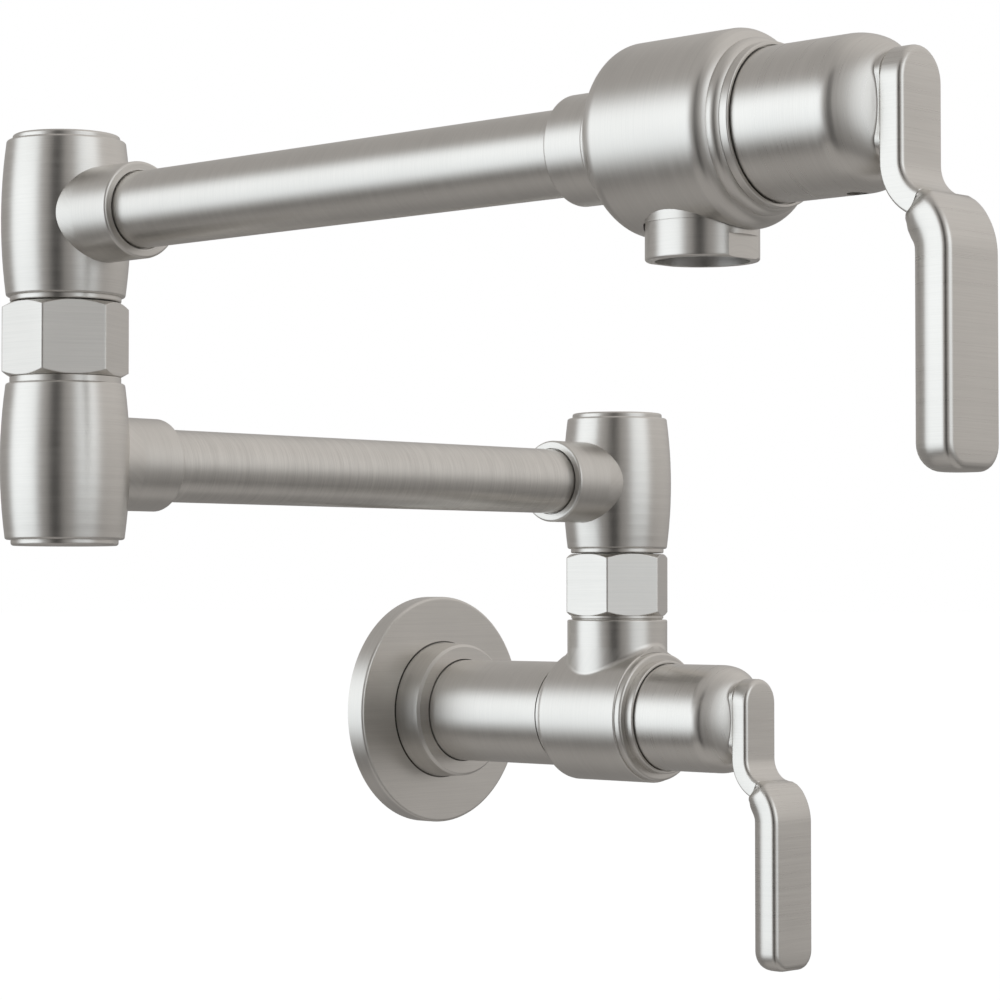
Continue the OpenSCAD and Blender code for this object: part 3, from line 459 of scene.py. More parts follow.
# %% [markdown]
# Inside the valves and swivels sit brass cartridges, ceramic discs, rubber rings, plastic bushes and
# steel clips. They hardly show, but a buyer who opens the model sees them, so each has its own material:
# a base colour that varies a little, a fine bump, and the gloss of the real stuff.

# %% Materials of the hidden parts
def plain_stuff(name, dark, light, metallic, roughness, grain, bump_depth):
    material, tree = empty_material(name)
    place = add_node(tree, "ShaderNodeTexCoord").outputs["Object"]
    specks = add_node(tree, "ShaderNodeTexNoise", {"Vector": place, "Scale": grain, "Detail": 4.0})
    noise = specks.outputs["Fac"]
    mix = tree.nodes.new("ShaderNodeMix")
    mix.data_type = "RGBA"
    tree.links.new(ramp(tree, noise, 0.3, 0.7), mix.inputs[0])
    mix.inputs[6].default_value = (*dark, 1.0)
    mix.inputs[7].default_value = (*light, 1.0)
    bump = add_node(tree, "ShaderNodeBump", {"Strength": 0.3, "Distance": bump_depth * MM, "Height": noise})
    shader = add_node(tree, "ShaderNodeBsdfPrincipled", {"Base Color": mix.outputs[2], "Metallic": metallic,
        "Roughness": ramp(tree, noise, 0.3, 0.7, roughness - 0.05, roughness + 0.05),
        "Normal": bump.outputs["Normal"]})
    add_node(tree, "ShaderNodeOutputMaterial", {"Surface": shader.outputs[0]})
    return material


brass = plain_stuff("brass", (0.72, 0.55, 0.28), (0.82, 0.66, 0.38), 1.0, 0.32, 900.0, 0.02)
steel = plain_stuff("steel", (0.55, 0.56, 0.58), (0.64, 0.65, 0.67), 1.0, 0.30, 1200.0, 0.01)
ceramic = plain_stuff("ceramic", (0.90, 0.89, 0.87), (0.95, 0.94, 0.92), 0.0, 0.15, 500.0, 0.005)
rubber = plain_stuff("rubber", (0.028, 0.028, 0.03), (0.05, 0.05, 0.055), 0.0, 0.62, 1500.0, 0.03)
acetal = plain_stuff("acetal", (0.80, 0.80, 0.75), (0.88, 0.88, 0.83), 0.0, 0.42, 800.0, 0.015)
dark_acetal = plain_stuff("dark_acetal", (0.10, 0.10, 0.105), (0.15, 0.15, 0.155), 0.0, 0.45, 800.0, 0.015)

# %% [markdown]
# The name of a hidden part ends in what it is, so a few endings sort them all. The handles are left out:
# they are about to be replaced.

# %% Hand out the materials
for stuff, endings in (
        (brass, ("cartridge", "spindle")),
        (steel, ("grub_screw", "clip")),
        (ceramic, ("disc",)),
        (rubber, ("o_ring", "o_rings", "seat_seal", "aerator_washer")),
        (acetal, ("bush", "post_washer", "elbow_washer")),
        (dark_acetal, ("aerator",))):
    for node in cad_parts:
        if node not in FINISHES and node.endswith(endings):
            FINISHES[node] = stuff
for node, stuff in FINISHES.items():
    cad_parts[node].data.materials.clear()
    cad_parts[node].data.materials.append(stuff)
print("nodes with a finish:", len(FINISHES), "without:", sorted(set(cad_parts) - set(FINISHES)))

# %% [markdown]
# The lever handle is one casting: a hub that covers the cartridge, a dome that narrows into a neck,
# a flat blade, and a grip that hangs from the blade on a bend.
# A casting like this is all soft transitions, so it is built point by point.
# Its places are given as x across, out from the gap in front of the valve, and up from the valve's axis.
# The dome comes first. Seen from the side it is part of a circle. Seen from above it is narrower:
# a round edge, and then a long flat cheek on each side.

# %% Width and height of the dome
HUB_R = 15.95
DOME_R = 14.0
DOME_START = 20.2
HUB_END = 29.9
EDGE_START = 20.7
EDGE_R = 4.9
EDGE_TURN = math.radians(45.0)
CHEEK_R = 22.0


def hub_size(out):
    high = HUB_R - DOME_R + math.sqrt(DOME_R ** 2 - max(0.0, out - DOME_START) ** 2)
    edge_end = EDGE_START + EDGE_R * math.sin(EDGE_TURN)
    if out <= edge_end:
        return HUB_R - EDGE_R + math.sqrt(EDGE_R ** 2 - max(0.0, out - EDGE_START) ** 2), high
    centre_out = edge_end - CHEEK_R * math.sin(EDGE_TURN)
    centre_half = HUB_R - EDGE_R * (1.0 - math.cos(EDGE_TURN)) - CHEEK_R * math.cos(EDGE_TURN)
    return centre_half + math.sqrt(CHEEK_R ** 2 - (out - centre_out) ** 2), high


print("half width and height of the dome at its end:", [round(value, 2) for value in hub_size(HUB_END)])

# %% [markdown]
# The neck is a strip down the front of the dome, as wide as the blade, with rounded ends. Where a ring
# of the dome would be narrower than the neck, the neck's width holds, with a short soft step between them.
# A smooth maximum gives that step. Inside, the hub has a cavity and a bore for the spindle.

# %% The hub
BLADE_TOP = 12.1
HUB_BACK = -1.2
HUB_BACK_EDGE = 0.4
HUB_WALL = 2.6
HUB_CAVITY = 11.8
SPINDLE_BORE_R = 4.05
SPINDLE_BORE_END = 25.2
HUB_SIDES = 200
DOME_STEPS = 70
NECK_HALF = 7.2
NECK_WAIST = 0.35
NECK_STRAIGHT = 6.2
NECK_ROUND = 5.4
NECK_SOFT = 0.7


def neck_half(up):
    beyond = max(0.0, abs(up) - NECK_STRAIGHT)
    if beyond > NECK_ROUND:
        return 0.0
    waist = NECK_HALF - NECK_WAIST * (1.0 - min(1.0, abs(up) / NECK_STRAIGHT) ** 2)
    return waist * math.sqrt(1.0 - (beyond / NECK_ROUND) ** 2)


def circle(radius, out, sides):
    turns = [2.0 * math.pi * k / sides for k in range(sides)]
    return [(radius * math.cos(turn), out, radius * math.sin(turn)) for turn in turns]


def hub_ring(out, shrink=0.0):
    wide, high = hub_size(out)
    ring = []
    for k in range(HUB_SIDES):
        angle = 2.0 * math.pi * k / HUB_SIDES
        up = (high - shrink) * math.sin(angle)
        half = (wide - shrink) * abs(math.cos(angle))
        neck = neck_half(up)
        if neck > 0.0:
            soft = min(NECK_SOFT, 0.5 * half) + 0.0001
            blend = max(0.0, min(1.0, 0.5 + 0.5 * (half - neck) / soft))
            half = neck + (half - neck) * blend + soft * blend * (1.0 - blend)
        ring.append((math.copysign(half, math.cos(angle)), out, up))
    return ring


def hub_rows():
    inside_r = HUB_R - HUB_WALL
    rows = [circle(radius, out, HUB_SIDES) for radius, out in ((SPINDLE_BORE_R, SPINDLE_BORE_END),
        (SPINDLE_BORE_R, HUB_CAVITY), (inside_r, HUB_CAVITY), (inside_r, HUB_BACK))]
    rows += [hub_ring(HUB_BACK, HUB_BACK_EDGE), hub_ring(HUB_BACK + HUB_BACK_EDGE)]
    rows += [hub_ring(out) for out in (HUB_BACK + 0.5, 4.0, 8.0, 12.0, 16.0, 18.0)]
    rows += [hub_ring(DOME_START + (HUB_END - DOME_START) * i / DOME_STEPS) for i in range(DOME_STEPS + 1)]
    print("hub:", len(rows), "rings of", HUB_SIDES, "points")
    return rows


# %% [markdown]
# The blade and the grip are one loft. Each section of it joins a point on the lever's front line
# to a point on its back line and has its own half width. The lines follow the side view: straight down
# the blade, round the bend, over a level ledge, and over the shoulder into the grip.
# The blade's top is a half circle, so its first sections grow from a narrow one and lean with the edge.
# A crease, one narrower section, ends the bend.

# %% The blade and the bend
BLADE_FRONT = 35.0
BLADE_T = 5.4
BLADE_HALF = 7.15
BLADE_STEPS = 6
TOP_STEPS = 11
TOP_SHARE = 0.93
BEND_START = -11.1
BEND_R = 6.6
BEND_TURN = 66.5
BEND_STEPS = 14
BEND_OUT = BLADE_FRONT + BEND_R
BEND_FOOT = BEND_START - BEND_R
CREASE_DEPTH = 0.5
CREASE_FRONT, CREASE_BACK = 2.0, 1.1


def bend_point(radius, degrees):
    angle = math.radians(degrees)
    return (BEND_OUT - radius * math.cos(angle), BEND_START - radius * math.sin(angle))


def blade_sections():
    made = []
    for i in range(TOP_STEPS + 1):
        turn = 90.0 * (1.0 - i / TOP_STEPS) * TOP_SHARE
        up = BLADE_TOP - BLADE_HALF + BLADE_HALF * math.sin(math.radians(turn))
        made.append(dict(front=(BLADE_FRONT, up), back=(BLADE_FRONT - BLADE_T, up),
            half=BLADE_HALF * math.cos(math.radians(turn)), turn=turn))
    for i in range(1, BLADE_STEPS):
        up = BLADE_TOP - BLADE_HALF + (BEND_START - BLADE_TOP + BLADE_HALF) * i / BLADE_STEPS
        made.append(dict(front=(BLADE_FRONT, up), back=(BLADE_FRONT - BLADE_T, up), half=BLADE_HALF))
    for i in range(BEND_STEPS + 1):
        turn = BEND_TURN * i / BEND_STEPS
        made.append(dict(front=bend_point(BEND_R, turn), back=bend_point(BEND_R + BLADE_T, turn),
            half=BLADE_HALF))
    made.append(dict(front=bend_point(BEND_R, BEND_TURN + CREASE_FRONT),
        back=bend_point(BEND_R + BLADE_T, BEND_TURN + CREASE_BACK), half=BLADE_HALF - CREASE_DEPTH))
    return made


# %% [markdown]
# The grip starts behind the crease, runs over the ledge, grows wider over the shoulder, goes straight down
# and ends in a rounded foot. Its back line, the heel, is drawn as a row of points, each as up and out,
# because it follows no simple curve. The rounding of its back grows from one section to the next.

# %% The grip
GRIP_FRONT = 47.2
GRIP_BACK = 35.5
GRIP_HALF = 9.0
GRIP_BOTTOM = -71.8
GRIP_STEPS = 8
FOOT_R = 5.5
FOOT_BACK = 4.5
LEDGE_START = BEND_TURN + 4.0
LEDGE_TURN = 86.0 - BEND_TURN
LEDGE_STEPS = 4
LEDGE_WIDER, LEDGE_GROWS = 0.2, 0.05
SHOULDER_WIDER = 0.4
SHOULDER_R = 15.4
SHOULDER_STEPS = 12
SHOULDER_OUT = GRIP_FRONT - SHOULDER_R
SHOULDER_UP = BEND_FOOT - math.sqrt(SHOULDER_R ** 2 - (BEND_OUT - SHOULDER_OUT) ** 2)
SHOULDER_ANGLE = math.acos((BEND_OUT - SHOULDER_OUT) / SHOULDER_R)
CORNER_H = 3.0
FIRST_ROUNDING, ROUNDING_STEP = 0.1, 0.16
HEEL = ((-22.4, 36.75), (-22.9, 35.4), (-23.2, 34.2), (-24.3, 33.9), (-25.6, 34.0), (-26.7, 34.5),
    (-27.6, 35.1), (-28.4, 35.45), (-29.4, 35.5))


def heel_point(share):
    place = share * (len(HEEL) - 1)
    k = min(int(place), len(HEEL) - 2)
    return tuple(HEEL[k][j] + (HEEL[k + 1][j] - HEEL[k][j]) * (place - k) for j in (1, 0))


def grip_sections():
    fronts = [(bend_point(BEND_R, LEDGE_START + LEDGE_TURN * i / LEDGE_STEPS),
        BLADE_HALF + LEDGE_WIDER + LEDGE_GROWS * i) for i in range(LEDGE_STEPS + 1)]
    for i in range(1, SHOULDER_STEPS + 1):
        angle = SHOULDER_ANGLE * (1.0 - i / SHOULDER_STEPS)
        front = (SHOULDER_OUT + SHOULDER_R * math.cos(angle), SHOULDER_UP + SHOULDER_R * math.sin(angle))
        drop = min(1.0, max(0.0, (BEND_FOOT - front[1]) / CORNER_H))
        half = BLADE_HALF + SHOULDER_WIDER
        half += (GRIP_HALF - BLADE_HALF - SHOULDER_WIDER) * math.sqrt(1.0 - (1.0 - drop) ** 2)
        fronts.append((front, half))
    made = []
    for i, (front, half) in enumerate(fronts):
        back = heel_point(i / (len(fronts) - 1))
        rounding = min(1.0, FIRST_ROUNDING + ROUNDING_STEP * i)
        made.append(dict(front=front, back=back, half=half, grip=True, rounding=rounding))
    straight = GRIP_BOTTOM + FOOT_R
    for i in range(1, GRIP_STEPS + 1):
        up = SHOULDER_UP + (straight - SHOULDER_UP) * i / GRIP_STEPS
        made.append(dict(front=(GRIP_FRONT, up), back=(GRIP_BACK, up), half=GRIP_HALF, grip=True))
    for i in range(1, GRIP_STEPS + 1):
        turn = 90.0 * i / GRIP_STEPS
        angle = math.radians(turn)
        up = straight - FOOT_R * math.sin(angle)
        half = GRIP_HALF - FOOT_R * (1.0 - math.cos(angle))
        back = GRIP_BACK + FOOT_BACK * (1.0 - math.cos(angle))
        made.append(dict(front=(GRIP_FRONT, up), back=(back, up), half=half, grip=True, turn=-turn))
    return made


# %% [markdown]
# A section is a closed row of points. All sections have the same number of points, so neighbouring rows
# can be joined by four-sided faces. A few points round each front edge. The back is square on the blade
# and a half ellipse on the grip, and the rounding takes it from one to the other.

# %% One section as points
BACK_STEPS = 9
EDGE_STEPS = 5
BLADE_EDGE_R = 1.4
GRIP_EDGE_R = 1.9
GRIP_SIDE = 4.0
SQUARE = 0.6
ROUND_BACK = 0.98


def section_points(front, back, half, grip=False, turn=0.0, rounding=1.0):
    depth = math.hypot(front[0] - back[0], front[1] - back[1])
    square = min(SQUARE, half * 0.5)
    share = rounding if grip else 0.0
    back_depth = SQUARE + (depth - GRIP_SIDE - SQUARE) * share
    back_half = square + (half * ROUND_BACK - square) * share
    edge_r = BLADE_EDGE_R + (GRIP_EDGE_R - BLADE_EDGE_R) * share
    across = abs(math.cos(math.radians(turn)))
    lower = math.sin(math.radians(turn))
    row = []
    for i in range(EDGE_STEPS + 1):
        angle = math.radians(90.0 * (1.0 - i / EDGE_STEPS))
        inset = edge_r * (1.0 - math.cos(angle))
        forward = 1.0 - edge_r * (1.0 - math.sin(angle)) / depth
        row.append((half - inset * across, forward, -inset * lower))
    for i in range(BACK_STEPS + 1):
        angle = math.radians(90.0 * i / BACK_STEPS)
        forward = back_depth * (1.0 - math.sin(angle)) / depth
        row.append((half - back_half * (1.0 - math.cos(angle)), forward, 0.0))
    row += [(-x, forward, shift) for x, forward, shift in reversed(row)]
    return [(x, back[0] + (front[0] - back[0]) * forward, back[1] + (front[1] - back[1]) * forward + shift)
        for x, forward, shift in row]


# %% [markdown]
# Rows of points become a skin of four-sided faces. Its ends are joined to each other, closed with one
# flat face each, or closed with a strip of small faces, which follows a curved end better.
# A second helper turns a skin into a mesh that looks smooth except over sharp angles.

# %% Skin and mesh
def skin(rows, ends):
    points = [point for row in rows for point in row]
    count = len(rows[0])
    last = len(points) - count
    faces = []
    for r in range(len(rows) if ends == "joined" else len(rows) - 1):
        here, there = r * count, (r + 1) % len(rows) * count
        for k in range(count):
            step = (k + 1) % count
            faces.append((here + k, here + step, there + step, there + k))
    if ends == "strips":
        for k in range(count // 2 - 1):
            faces.append((count - 1 - k, count - 2 - k, k + 1, k))
            faces.append((last + k, last + k + 1, last + count - 2 - k, last + count - 1 - k))
    elif ends == "flat":
        faces.append(tuple(reversed(range(count))))
        faces.append(tuple(last + k for k in range(count)))
    return points, faces


def closed_mesh(name, points, faces, sharp_from=35.0):
    work = bmesh.new()
    corners = [work.verts.new(point) for point in points]
    for face in faces:
        work.faces.new([corners[k] for k in face])
    bmesh.ops.recalc_face_normals(work, faces=work.faces)
    for face in work.faces:
        face.smooth = True
    mesh = bpy.data.meshes.new(name)
    work.to_mesh(mesh)
    work.free()
    mesh.set_sharp_from_angle(angle=math.radians(sharp_from))
    return mesh


# %% [markdown]
# Holes are drilled, as in the workshop. A boolean takes an upright round bit away from a mesh and gives
# back a new mesh. It needs two objects in the scene for a moment, which are removed again.

# %% A drill
BIT_SIDES = 32


def drill(mesh, centre, radius, depth):
    work = bmesh.new()
    bmesh.ops.create_cone(work, cap_ends=True, segments=BIT_SIDES, radius1=radius * MM, radius2=radius * MM,
        depth=depth * MM, matrix=Matrix.Translation(Vector(centre) * MM))
    bit = bpy.data.meshes.new("bit")
    work.to_mesh(bit)
    work.free()
    holder = bpy.data.objects.new("holder", mesh)
    drill_bit = bpy.data.objects.new("drill_bit", bit)
    for helper in (holder, drill_bit):
        bpy.context.scene.collection.objects.link(helper)
    cut = holder.modifiers.new("cut", "BOOLEAN")
    cut.operation = "DIFFERENCE"
    cut.object = drill_bit
    cut.solver = "EXACT"
    bpy.context.view_layer.update()
    drilled = bpy.data.meshes.new_from_object(holder.evaluated_get(bpy.context.evaluated_depsgraph_get()))
    for helper in (holder, drill_bit):
        bpy.data.objects.remove(helper)
    return drilled


# %% [markdown]
# A finished mesh becomes an object with a material. It rides on its moving body, and the parts of the
# CAD model that it stands in for, if any, are hidden.

# %% Hang a piece on its body
def hang(name, mesh, body, slot, material, *nodes):
    mesh.materials.clear()
    mesh.materials.append(material)
    piece = bpy.data.objects.new(name, mesh)
    bpy.context.scene.collection.objects.link(piece)
    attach(piece, body)
    if nodes:
        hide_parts(*nodes)
    print(name, "has", len(mesh.polygons), "faces")
    return piece


# %% [markdown]
# Both handles are the same casting, so one function builds it at the right gap and height.
# The hub and the lever are two closed skins in one mesh: the blade's back sits inside the dome, so no cut
# between them shows. The hole for the grub screw is drilled into the underside of the hub before that.
# The blade and the grip have level lines; the hub, up to its front, is turned.

# %% Build a handle
GRUB_OUT = 19.3
GRUB_HOLE_R = 2.15
GRUB_HOLE_DEPTH = 9.0
TURNED_UP_TO = 29.5


def handle_nickel(name, valve, gap_y):
    grains = [level_lines(), turned("Y", valve, where="Y", low=gap_y - TURNED_UP_TO, high=FAR)]
    return brushed_nickel(name, grains, roughness=0.30, smear=0.4, streak=0.75)


def build_handle(name, body, valve, gap_y, material, node):
    def in_place(points):
        return [((valve[0] + x) * MM, (gap_y - out) * MM, (valve[2] + up) * MM) for x, out, up in points]

    hub_points, hub_faces = skin(hub_rows(), "flat")
    hub = closed_mesh(name + "_hub", in_place(hub_points), hub_faces, sharp_from=60.0)
    hub = drill(hub, (valve[0], gap_y - GRUB_OUT, valve[2] - HUB_R), GRUB_HOLE_R, GRUB_HOLE_DEPTH)
    sections = [section_points(**section) for section in blade_sections() + grip_sections()]
    lever_points, lever_faces = skin(sections, "strips")
    casting = closed_mesh(name, in_place(lever_points), lever_faces)
    both = bmesh.new()
    both.from_mesh(hub)
    both.from_mesh(casting)
    both.to_mesh(casting)
    both.free()
    print("lever:", len(sections), "sections of", len(sections[0]), "points")
    return hang(name, casting, body, "handle_nickel", material, node)


LOWER_GAP_Y = POST[1] - HANDLE_GAP
UPPER_GAP_Y = OUTLET[1] - HANDLE_GAP
handle_low_nickel = handle_nickel("handle_low_nickel", LOWER_VALVE, LOWER_GAP_Y)
handle_up_nickel = handle_nickel("handle_up_nickel", OUTLET_VALVE, UPPER_GAP_Y)
build_handle("lower_lever_handle", "lower_lever", LOWER_VALVE, LOWER_GAP_Y, handle_low_nickel, "lower_handle")
build_handle("upper_lever_handle", "upper_lever", OUTLET_VALVE, UPPER_GAP_Y, handle_up_nickel, "upper_handle")

# %% [markdown]
# The stub grows out of the valve's body with a soft corner, as cast and ground parts do.
# A ball that rolls along the corner, touching the stub and the body, sweeps exactly that surface.
# For each angle round the stub the ball's centre gives two touching points, and the strip is
# the short arc between them. The ball is small behind, larger at the sides and largest in front, where
# the flat front of the body slices the corner off and leaves the drop-shaped edge of the real valve.
# The strip's inner side lies hidden inside the metal.

# %% The soft corner under the stub
STUB_R = 15.2
BODY_R = 19.8
SIDE_BALL_R = 1.9
FRONT_BALL_R = 2.7
REAR_BALL_R = 1.0
FRONT_POWER = 6
FRONT_CUT = 15.45
CORNER_TURNS = 120
CORNER_STEPS = 8
TRIM_STEP = 0.002
UNDER = 0.65


def ball_radius(angle):
    if math.sin(angle) < 0.0:
        return SIDE_BALL_R + (FRONT_BALL_R - SIDE_BALL_R) * math.sin(angle) ** FRONT_POWER
    return REAR_BALL_R + (SIDE_BALL_R - REAR_BALL_R) * math.cos(angle) ** 2


def corner_row(angle):
    ball = ball_radius(angle)
    reach = STUB_R + ball
    across = reach * math.cos(angle)
    centre = Vector((across, reach * math.sin(angle), math.sqrt((BODY_R + ball) ** 2 - across ** 2)))
    on_stub = Vector((STUB_R * math.cos(angle), STUB_R * math.sin(angle), centre.z))
    share = BODY_R / (BODY_R + ball)
    on_body = Vector((centre.x * share, centre.y, centre.z * share))
    start = (on_stub - centre).normalized()
    end = (on_body - centre).normalized()
    whole = 1.0
    while whole > 0.05 and (centre + start.slerp(end, whole) * ball).y < -FRONT_CUT:
        whole -= TRIM_STEP
    row = [centre + start.slerp(end, whole * i / CORNER_STEPS) * ball for i in range(CORNER_STEPS + 1)]
    row.append(on_body)
    inner = (STUB_R - UNDER) / STUB_R
    inside_body = (BODY_R - UNDER) / BODY_R
    row.append(Vector((on_body.x * inside_body, on_body.y, on_body.z * inside_body)))
    low = math.sqrt((BODY_R - UNDER) ** 2 - (on_stub.x * inner) ** 2)
    row.append(Vector((on_stub.x * inner, on_stub.y * inner, low)))
    row.append(Vector((on_stub.x * inner, on_stub.y * inner, on_stub.z)))
    return [((POST[0] + p.x) * MM, (POST[1] + max(p.y, -FRONT_CUT)) * MM, p.z * MM) for p in row]


corner_rows = [corner_row(2.0 * math.pi * k / CORNER_TURNS) for k in range(CORNER_TURNS)]
corner_mesh = closed_mesh("stub_corner", *skin(corner_rows, "joined"), sharp_from=24.0)
hang("stub_corner", corner_mesh, "wall_valve", "body_nickel", lower_body_nickel)

# %% [markdown]
# Everything that is left is turned, and a lathe in code is short. An outline lists radius and distance
# along the axis, and each of its points becomes a circle. The outline is closed, so the piece is hollow
# and has a wall. A bow is part of a circle or an ellipse, for the rounded stretches of an outline.
# The axis stands upright, points forward out of the wall, or follows any level direction.

# %% A lathe
LATHE_SIDES = 144
UPRIGHT = "Z"
FORWARD = "-Y"


def bow(centre_r, centre_out, wide, long, start, end, steps=12):
    angles = [math.radians(start + (end - start) * i / steps) for i in range(steps + 1)]
    return [(centre_r + wide * math.cos(a), centre_out + long * math.sin(a)) for a in angles]


def lathe(name, outline, at, along):
    points, faces = skin([circle(radius, out, LATHE_SIDES) for radius, out in outline], "joined")
    origin = Vector(at)
    if along == FORWARD:
        spots = [(origin.x + x, origin.y - out, origin.z + up) for x, out, up in points]
    elif along == UPRIGHT:
        spots = [(origin.x + x, origin.y + up, origin.z + out) for x, out, up in points]
    else:
        ahead = Vector(along)
        side = Vector(AXES["Z"]).cross(ahead)
        spots = [tuple(origin + ahead * out + side * x + Vector((0.0, 0.0, up))) for x, out, up in points]
    print(name, "is turned from", len(outline), "points")
    return closed_mesh(name, [tuple(value * MM for value in spot) for spot in spots], faces)


def turned_piece(name, outline, axis, body, slot, material, *nodes):
    return hang(name, lathe(name, outline, **axis), body, slot, material, *nodes)


# %% [markdown]
# The outlet valve's body is turned from a bar. Its outline runs from the rim behind, over the shoulder
# and a soft front edge, to the front ring, and back through the inside: the skirt of the nut, the chamber
# of the cartridge, its seat, and the hole for the collar. The drill opens the port for the nozzle below.

# %% The outlet valve's body
OUTLET_R = 20.65
RIM_BACK = -22.6
RIM_R = 13.5
RIM_EDGE = 0.87
SHOULDER_BACK = -12.65
SHOULDER_HIGH = 17.9
SHOULDER_LONG = 9.0
SHOULDER_ANGLE_START = -54.8
FRONT_EDGE_START = 12.0
FRONT_EDGE_R = 4.2
FRONT_EDGE_END = 65.0
INNER_RING_R = 18.25
INNER_RING_START = 16.3
INNER_RING_BOW = 2.2
INNER_RING_TURN = 66.0
INNER_RING_END = 18.35
SKIRT_R = 14.5
SKIRT_START = 11.6
CHAMBER_R = 13.0
SEAT_FRONT, SEAT_BACK = -6.0, -10.0
SEAT_HOLE_R = 6.5
COLLAR_HOLE_R = 10.65
NOZZLE_HOLE_R = 12.28
NOZZLE_HOLE_DEPTH = 14.0
WATER_HOLE_R = 7.0
WATER_HOLE_DEPTH = 8.0
WATER_HOLE_AT = 11.0
FIT = 0.05
OUTLET_AXIS = dict(at=(*OUTLET, UPPER_ARM_Z), along=FORWARD)

outlet_outline = bow(RIM_R - RIM_EDGE, RIM_BACK + RIM_EDGE, RIM_EDGE, RIM_EDGE, -90.0, 60.0)
outlet_outline += bow(OUTLET_R - SHOULDER_HIGH, SHOULDER_BACK, SHOULDER_HIGH, SHOULDER_LONG,
    SHOULDER_ANGLE_START, 0.0, 24)
outlet_outline += bow(OUTLET_R - FRONT_EDGE_R, FRONT_EDGE_START, FRONT_EDGE_R, FRONT_EDGE_R,
    0.0, FRONT_EDGE_END, 18)
outlet_outline += bow(INNER_RING_R - INNER_RING_BOW, INNER_RING_START, INNER_RING_BOW, INNER_RING_BOW,
    0.0, INNER_RING_TURN)
outlet_outline += [(SKIRT_R, INNER_RING_END), (SKIRT_R, SKIRT_START - FIT), (CHAMBER_R, SKIRT_START - FIT),
    (CHAMBER_R, SEAT_FRONT), (SEAT_HOLE_R, SEAT_FRONT), (SEAT_HOLE_R, SEAT_BACK),
    (COLLAR_HOLE_R, SEAT_BACK), (COLLAR_HOLE_R, RIM_BACK)]
outlet_mesh = lathe("outlet_body", outlet_outline, **OUTLET_AXIS)
outlet_mesh = drill(outlet_mesh, (*OUTLET, UPPER_ARM_Z - OUTLET_R), NOZZLE_HOLE_R, NOZZLE_HOLE_DEPTH)
outlet_mesh = drill(outlet_mesh, (*OUTLET, UPPER_ARM_Z - WATER_HOLE_AT), WATER_HOLE_R, WATER_HOLE_DEPTH)
hang("outlet_body", outlet_mesh, "upper_arm", "body_nickel", outlet_nickel, "outlet_valve_body")

# %% [markdown]
# A nut in front of the body holds the cartridge in. It shows as the inner ring round the lever's hub.
# Both valves have the same nut. Only the front of the body behind it lies at another place,
# so a function gives the outline.

# %% The outlet valve's nut
NUT_R = 16.97
NUT_END = 20.3
NUT_EDGE = 0.35
NUT_RECESS_R = 16.25
NUT_RECESS = 19.0
NUT_HOLE_R = 9.0
NUT_SHELF = 15.5
HAIRLINE = 0.02


def nut_outline(body_end):
    back = body_end + HAIRLINE
    outline = [(SKIRT_R - FIT, SKIRT_START), (SKIRT_R - FIT, back), (NUT_R, back)]
    outline += bow(NUT_R - NUT_EDGE, NUT_END - NUT_EDGE, NUT_EDGE, NUT_EDGE, 0.0, 90.0, 6)
    return outline + [(NUT_RECESS_R, NUT_END), (NUT_RECESS_R, NUT_RECESS), (NUT_HOLE_R, NUT_RECESS),
        (NUT_HOLE_R, NUT_SHELF), (CHAMBER_R, NUT_SHELF), (CHAMBER_R, SKIRT_START)]


turned_piece("outlet_nut", nut_outline(INNER_RING_END), OUTLET_AXIS, "upper_arm", "body_nickel", outlet_nickel,
    "upper_bonnet_ring")

# %% [markdown]
# The lower valve's body ends in a crisp edge, level with the flat of the drop shape, so a thin turned
# ring round the front of the body carries that edge. Its inner side lies hidden in the metal.

# %% The lower valve's front
LOWER_AXIS = dict(at=(*POST, 0.0), along=FORWARD)
LOWER_FACE = 17.6
CRISP_EDGE = 0.42
EDGE_RING_BACK = 13.6
EDGE_RING_IN = 17.3
EDGE_RING_R = BODY_R + 0.01

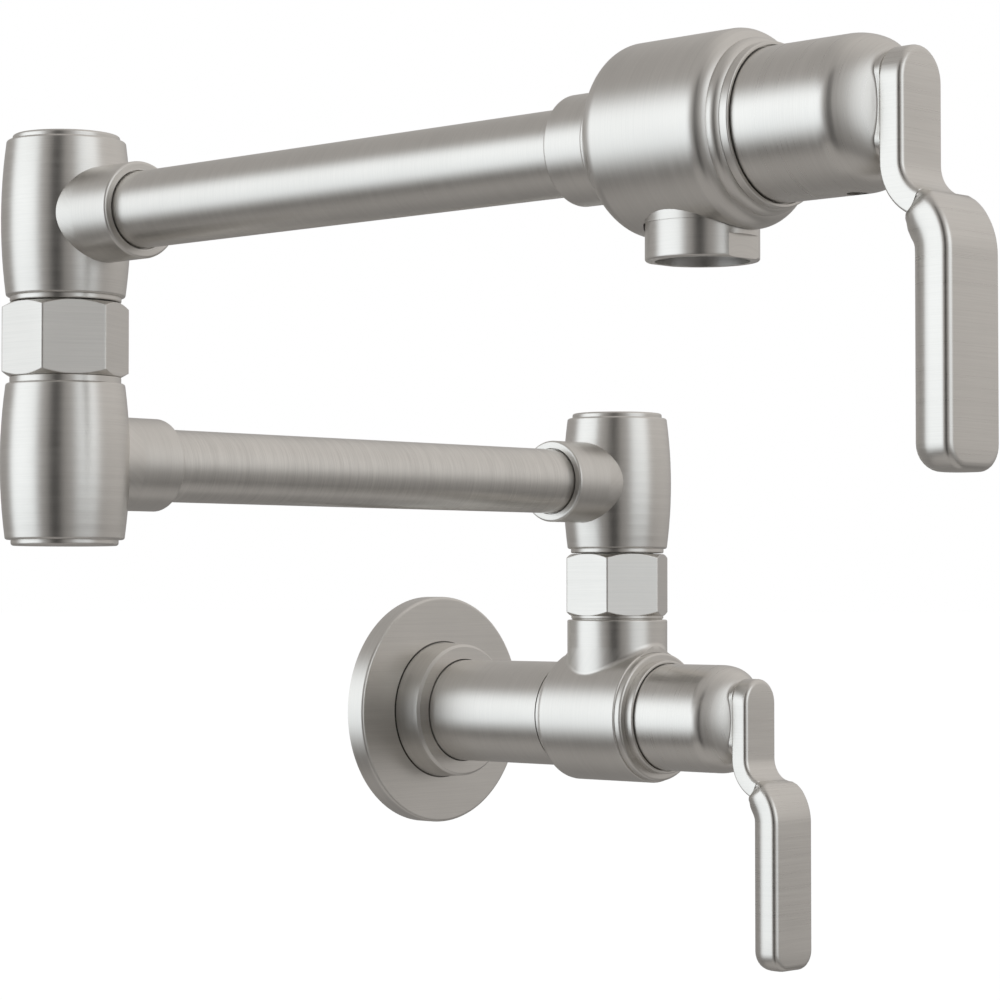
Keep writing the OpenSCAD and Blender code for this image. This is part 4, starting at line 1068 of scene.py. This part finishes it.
front_outline = [(EDGE_RING_IN, EDGE_RING_BACK), (EDGE_RING_R, EDGE_RING_BACK)]
front_outline += bow(EDGE_RING_R - CRISP_EDGE, FRONT_CUT - CRISP_EDGE, CRISP_EDGE, CRISP_EDGE, 0.0, 90.0, 8)
front_outline += [(EDGE_RING_IN, FRONT_CUT)]
turned_piece("lower_front_ring", front_outline, LOWER_AXIS, "wall_valve", "body_nickel", lower_body_nickel)
turned_piece("lower_nut", nut_outline(LOWER_FACE), LOWER_AXIS, "wall_valve", "body_nickel", lower_body_nickel,
    "lower_bonnet_ring")

# %% [markdown]
# Each tube is soldered into its socket. The solder nearly fills the mouth and leaves a hairline round
# the tube. Three thin beads do it, each turned about its own tube, with a small slope at the tube.

# %% Solder beads
SOCKET_MOUTH = 30.0
BEAD_IN = 9.78
BEAD_OUT = 10.28
BEAD_BACK = -1.15
BEAD_FACE = -0.03
BEAD_SLOPE = 0.12


bead_outline = [(BEAD_IN, BEAD_BACK), (BEAD_OUT, BEAD_BACK), (BEAD_OUT, BEAD_FACE),
    (BEAD_IN + BEAD_SLOPE, BEAD_FACE), (BEAD_IN, BEAD_FACE - BEAD_SLOPE)]
for name, swivel, up, (ahead_x, ahead_y), body in (
        ("post_bead", POST, LOWER_ARM_Z, (-1.0, 0.0), "lower_arm"),
        ("elbow_lower_bead", ELBOW, LOWER_ARM_Z, (1.0, 0.0), "lower_arm"),
        ("elbow_upper_bead", ELBOW, UPPER_ARM_Z, (0.0, -1.0), "upper_arm")):
    mouth = (swivel[0] + ahead_x * SOCKET_MOUTH, swivel[1] + ahead_y * SOCKET_MOUTH, up)
    axis = dict(at=mouth, along=(ahead_x, ahead_y, 0.0))
    turned_piece(name, bead_outline, axis, body, "tube_nickel", lower_tube_nickel)

# %% [markdown]
# The hexagon of the first swivel stands on the stub with a thin round shoulder, which leaves only
# a hairline between them.

# %% Shoulder under the hexagon
FOOT_OUT_R = 14.0
FOOT_IN_R = 12.0
FOOT_LOW = 29.38
FOOT_HIGH = 30.45
FOOT_EDGE = 0.2

foot_outline = [(FOOT_IN_R, FOOT_LOW), (FOOT_OUT_R - FOOT_EDGE, FOOT_LOW),
    (FOOT_OUT_R, FOOT_LOW + FOOT_EDGE), (FOOT_OUT_R, FOOT_HIGH), (FOOT_IN_R, FOOT_HIGH)]
turned_piece("hexagon_foot", foot_outline, dict(at=(*POST, 0.0), along=UPRIGHT), "wall_valve", "hex_nickel",
    hex_nickel)
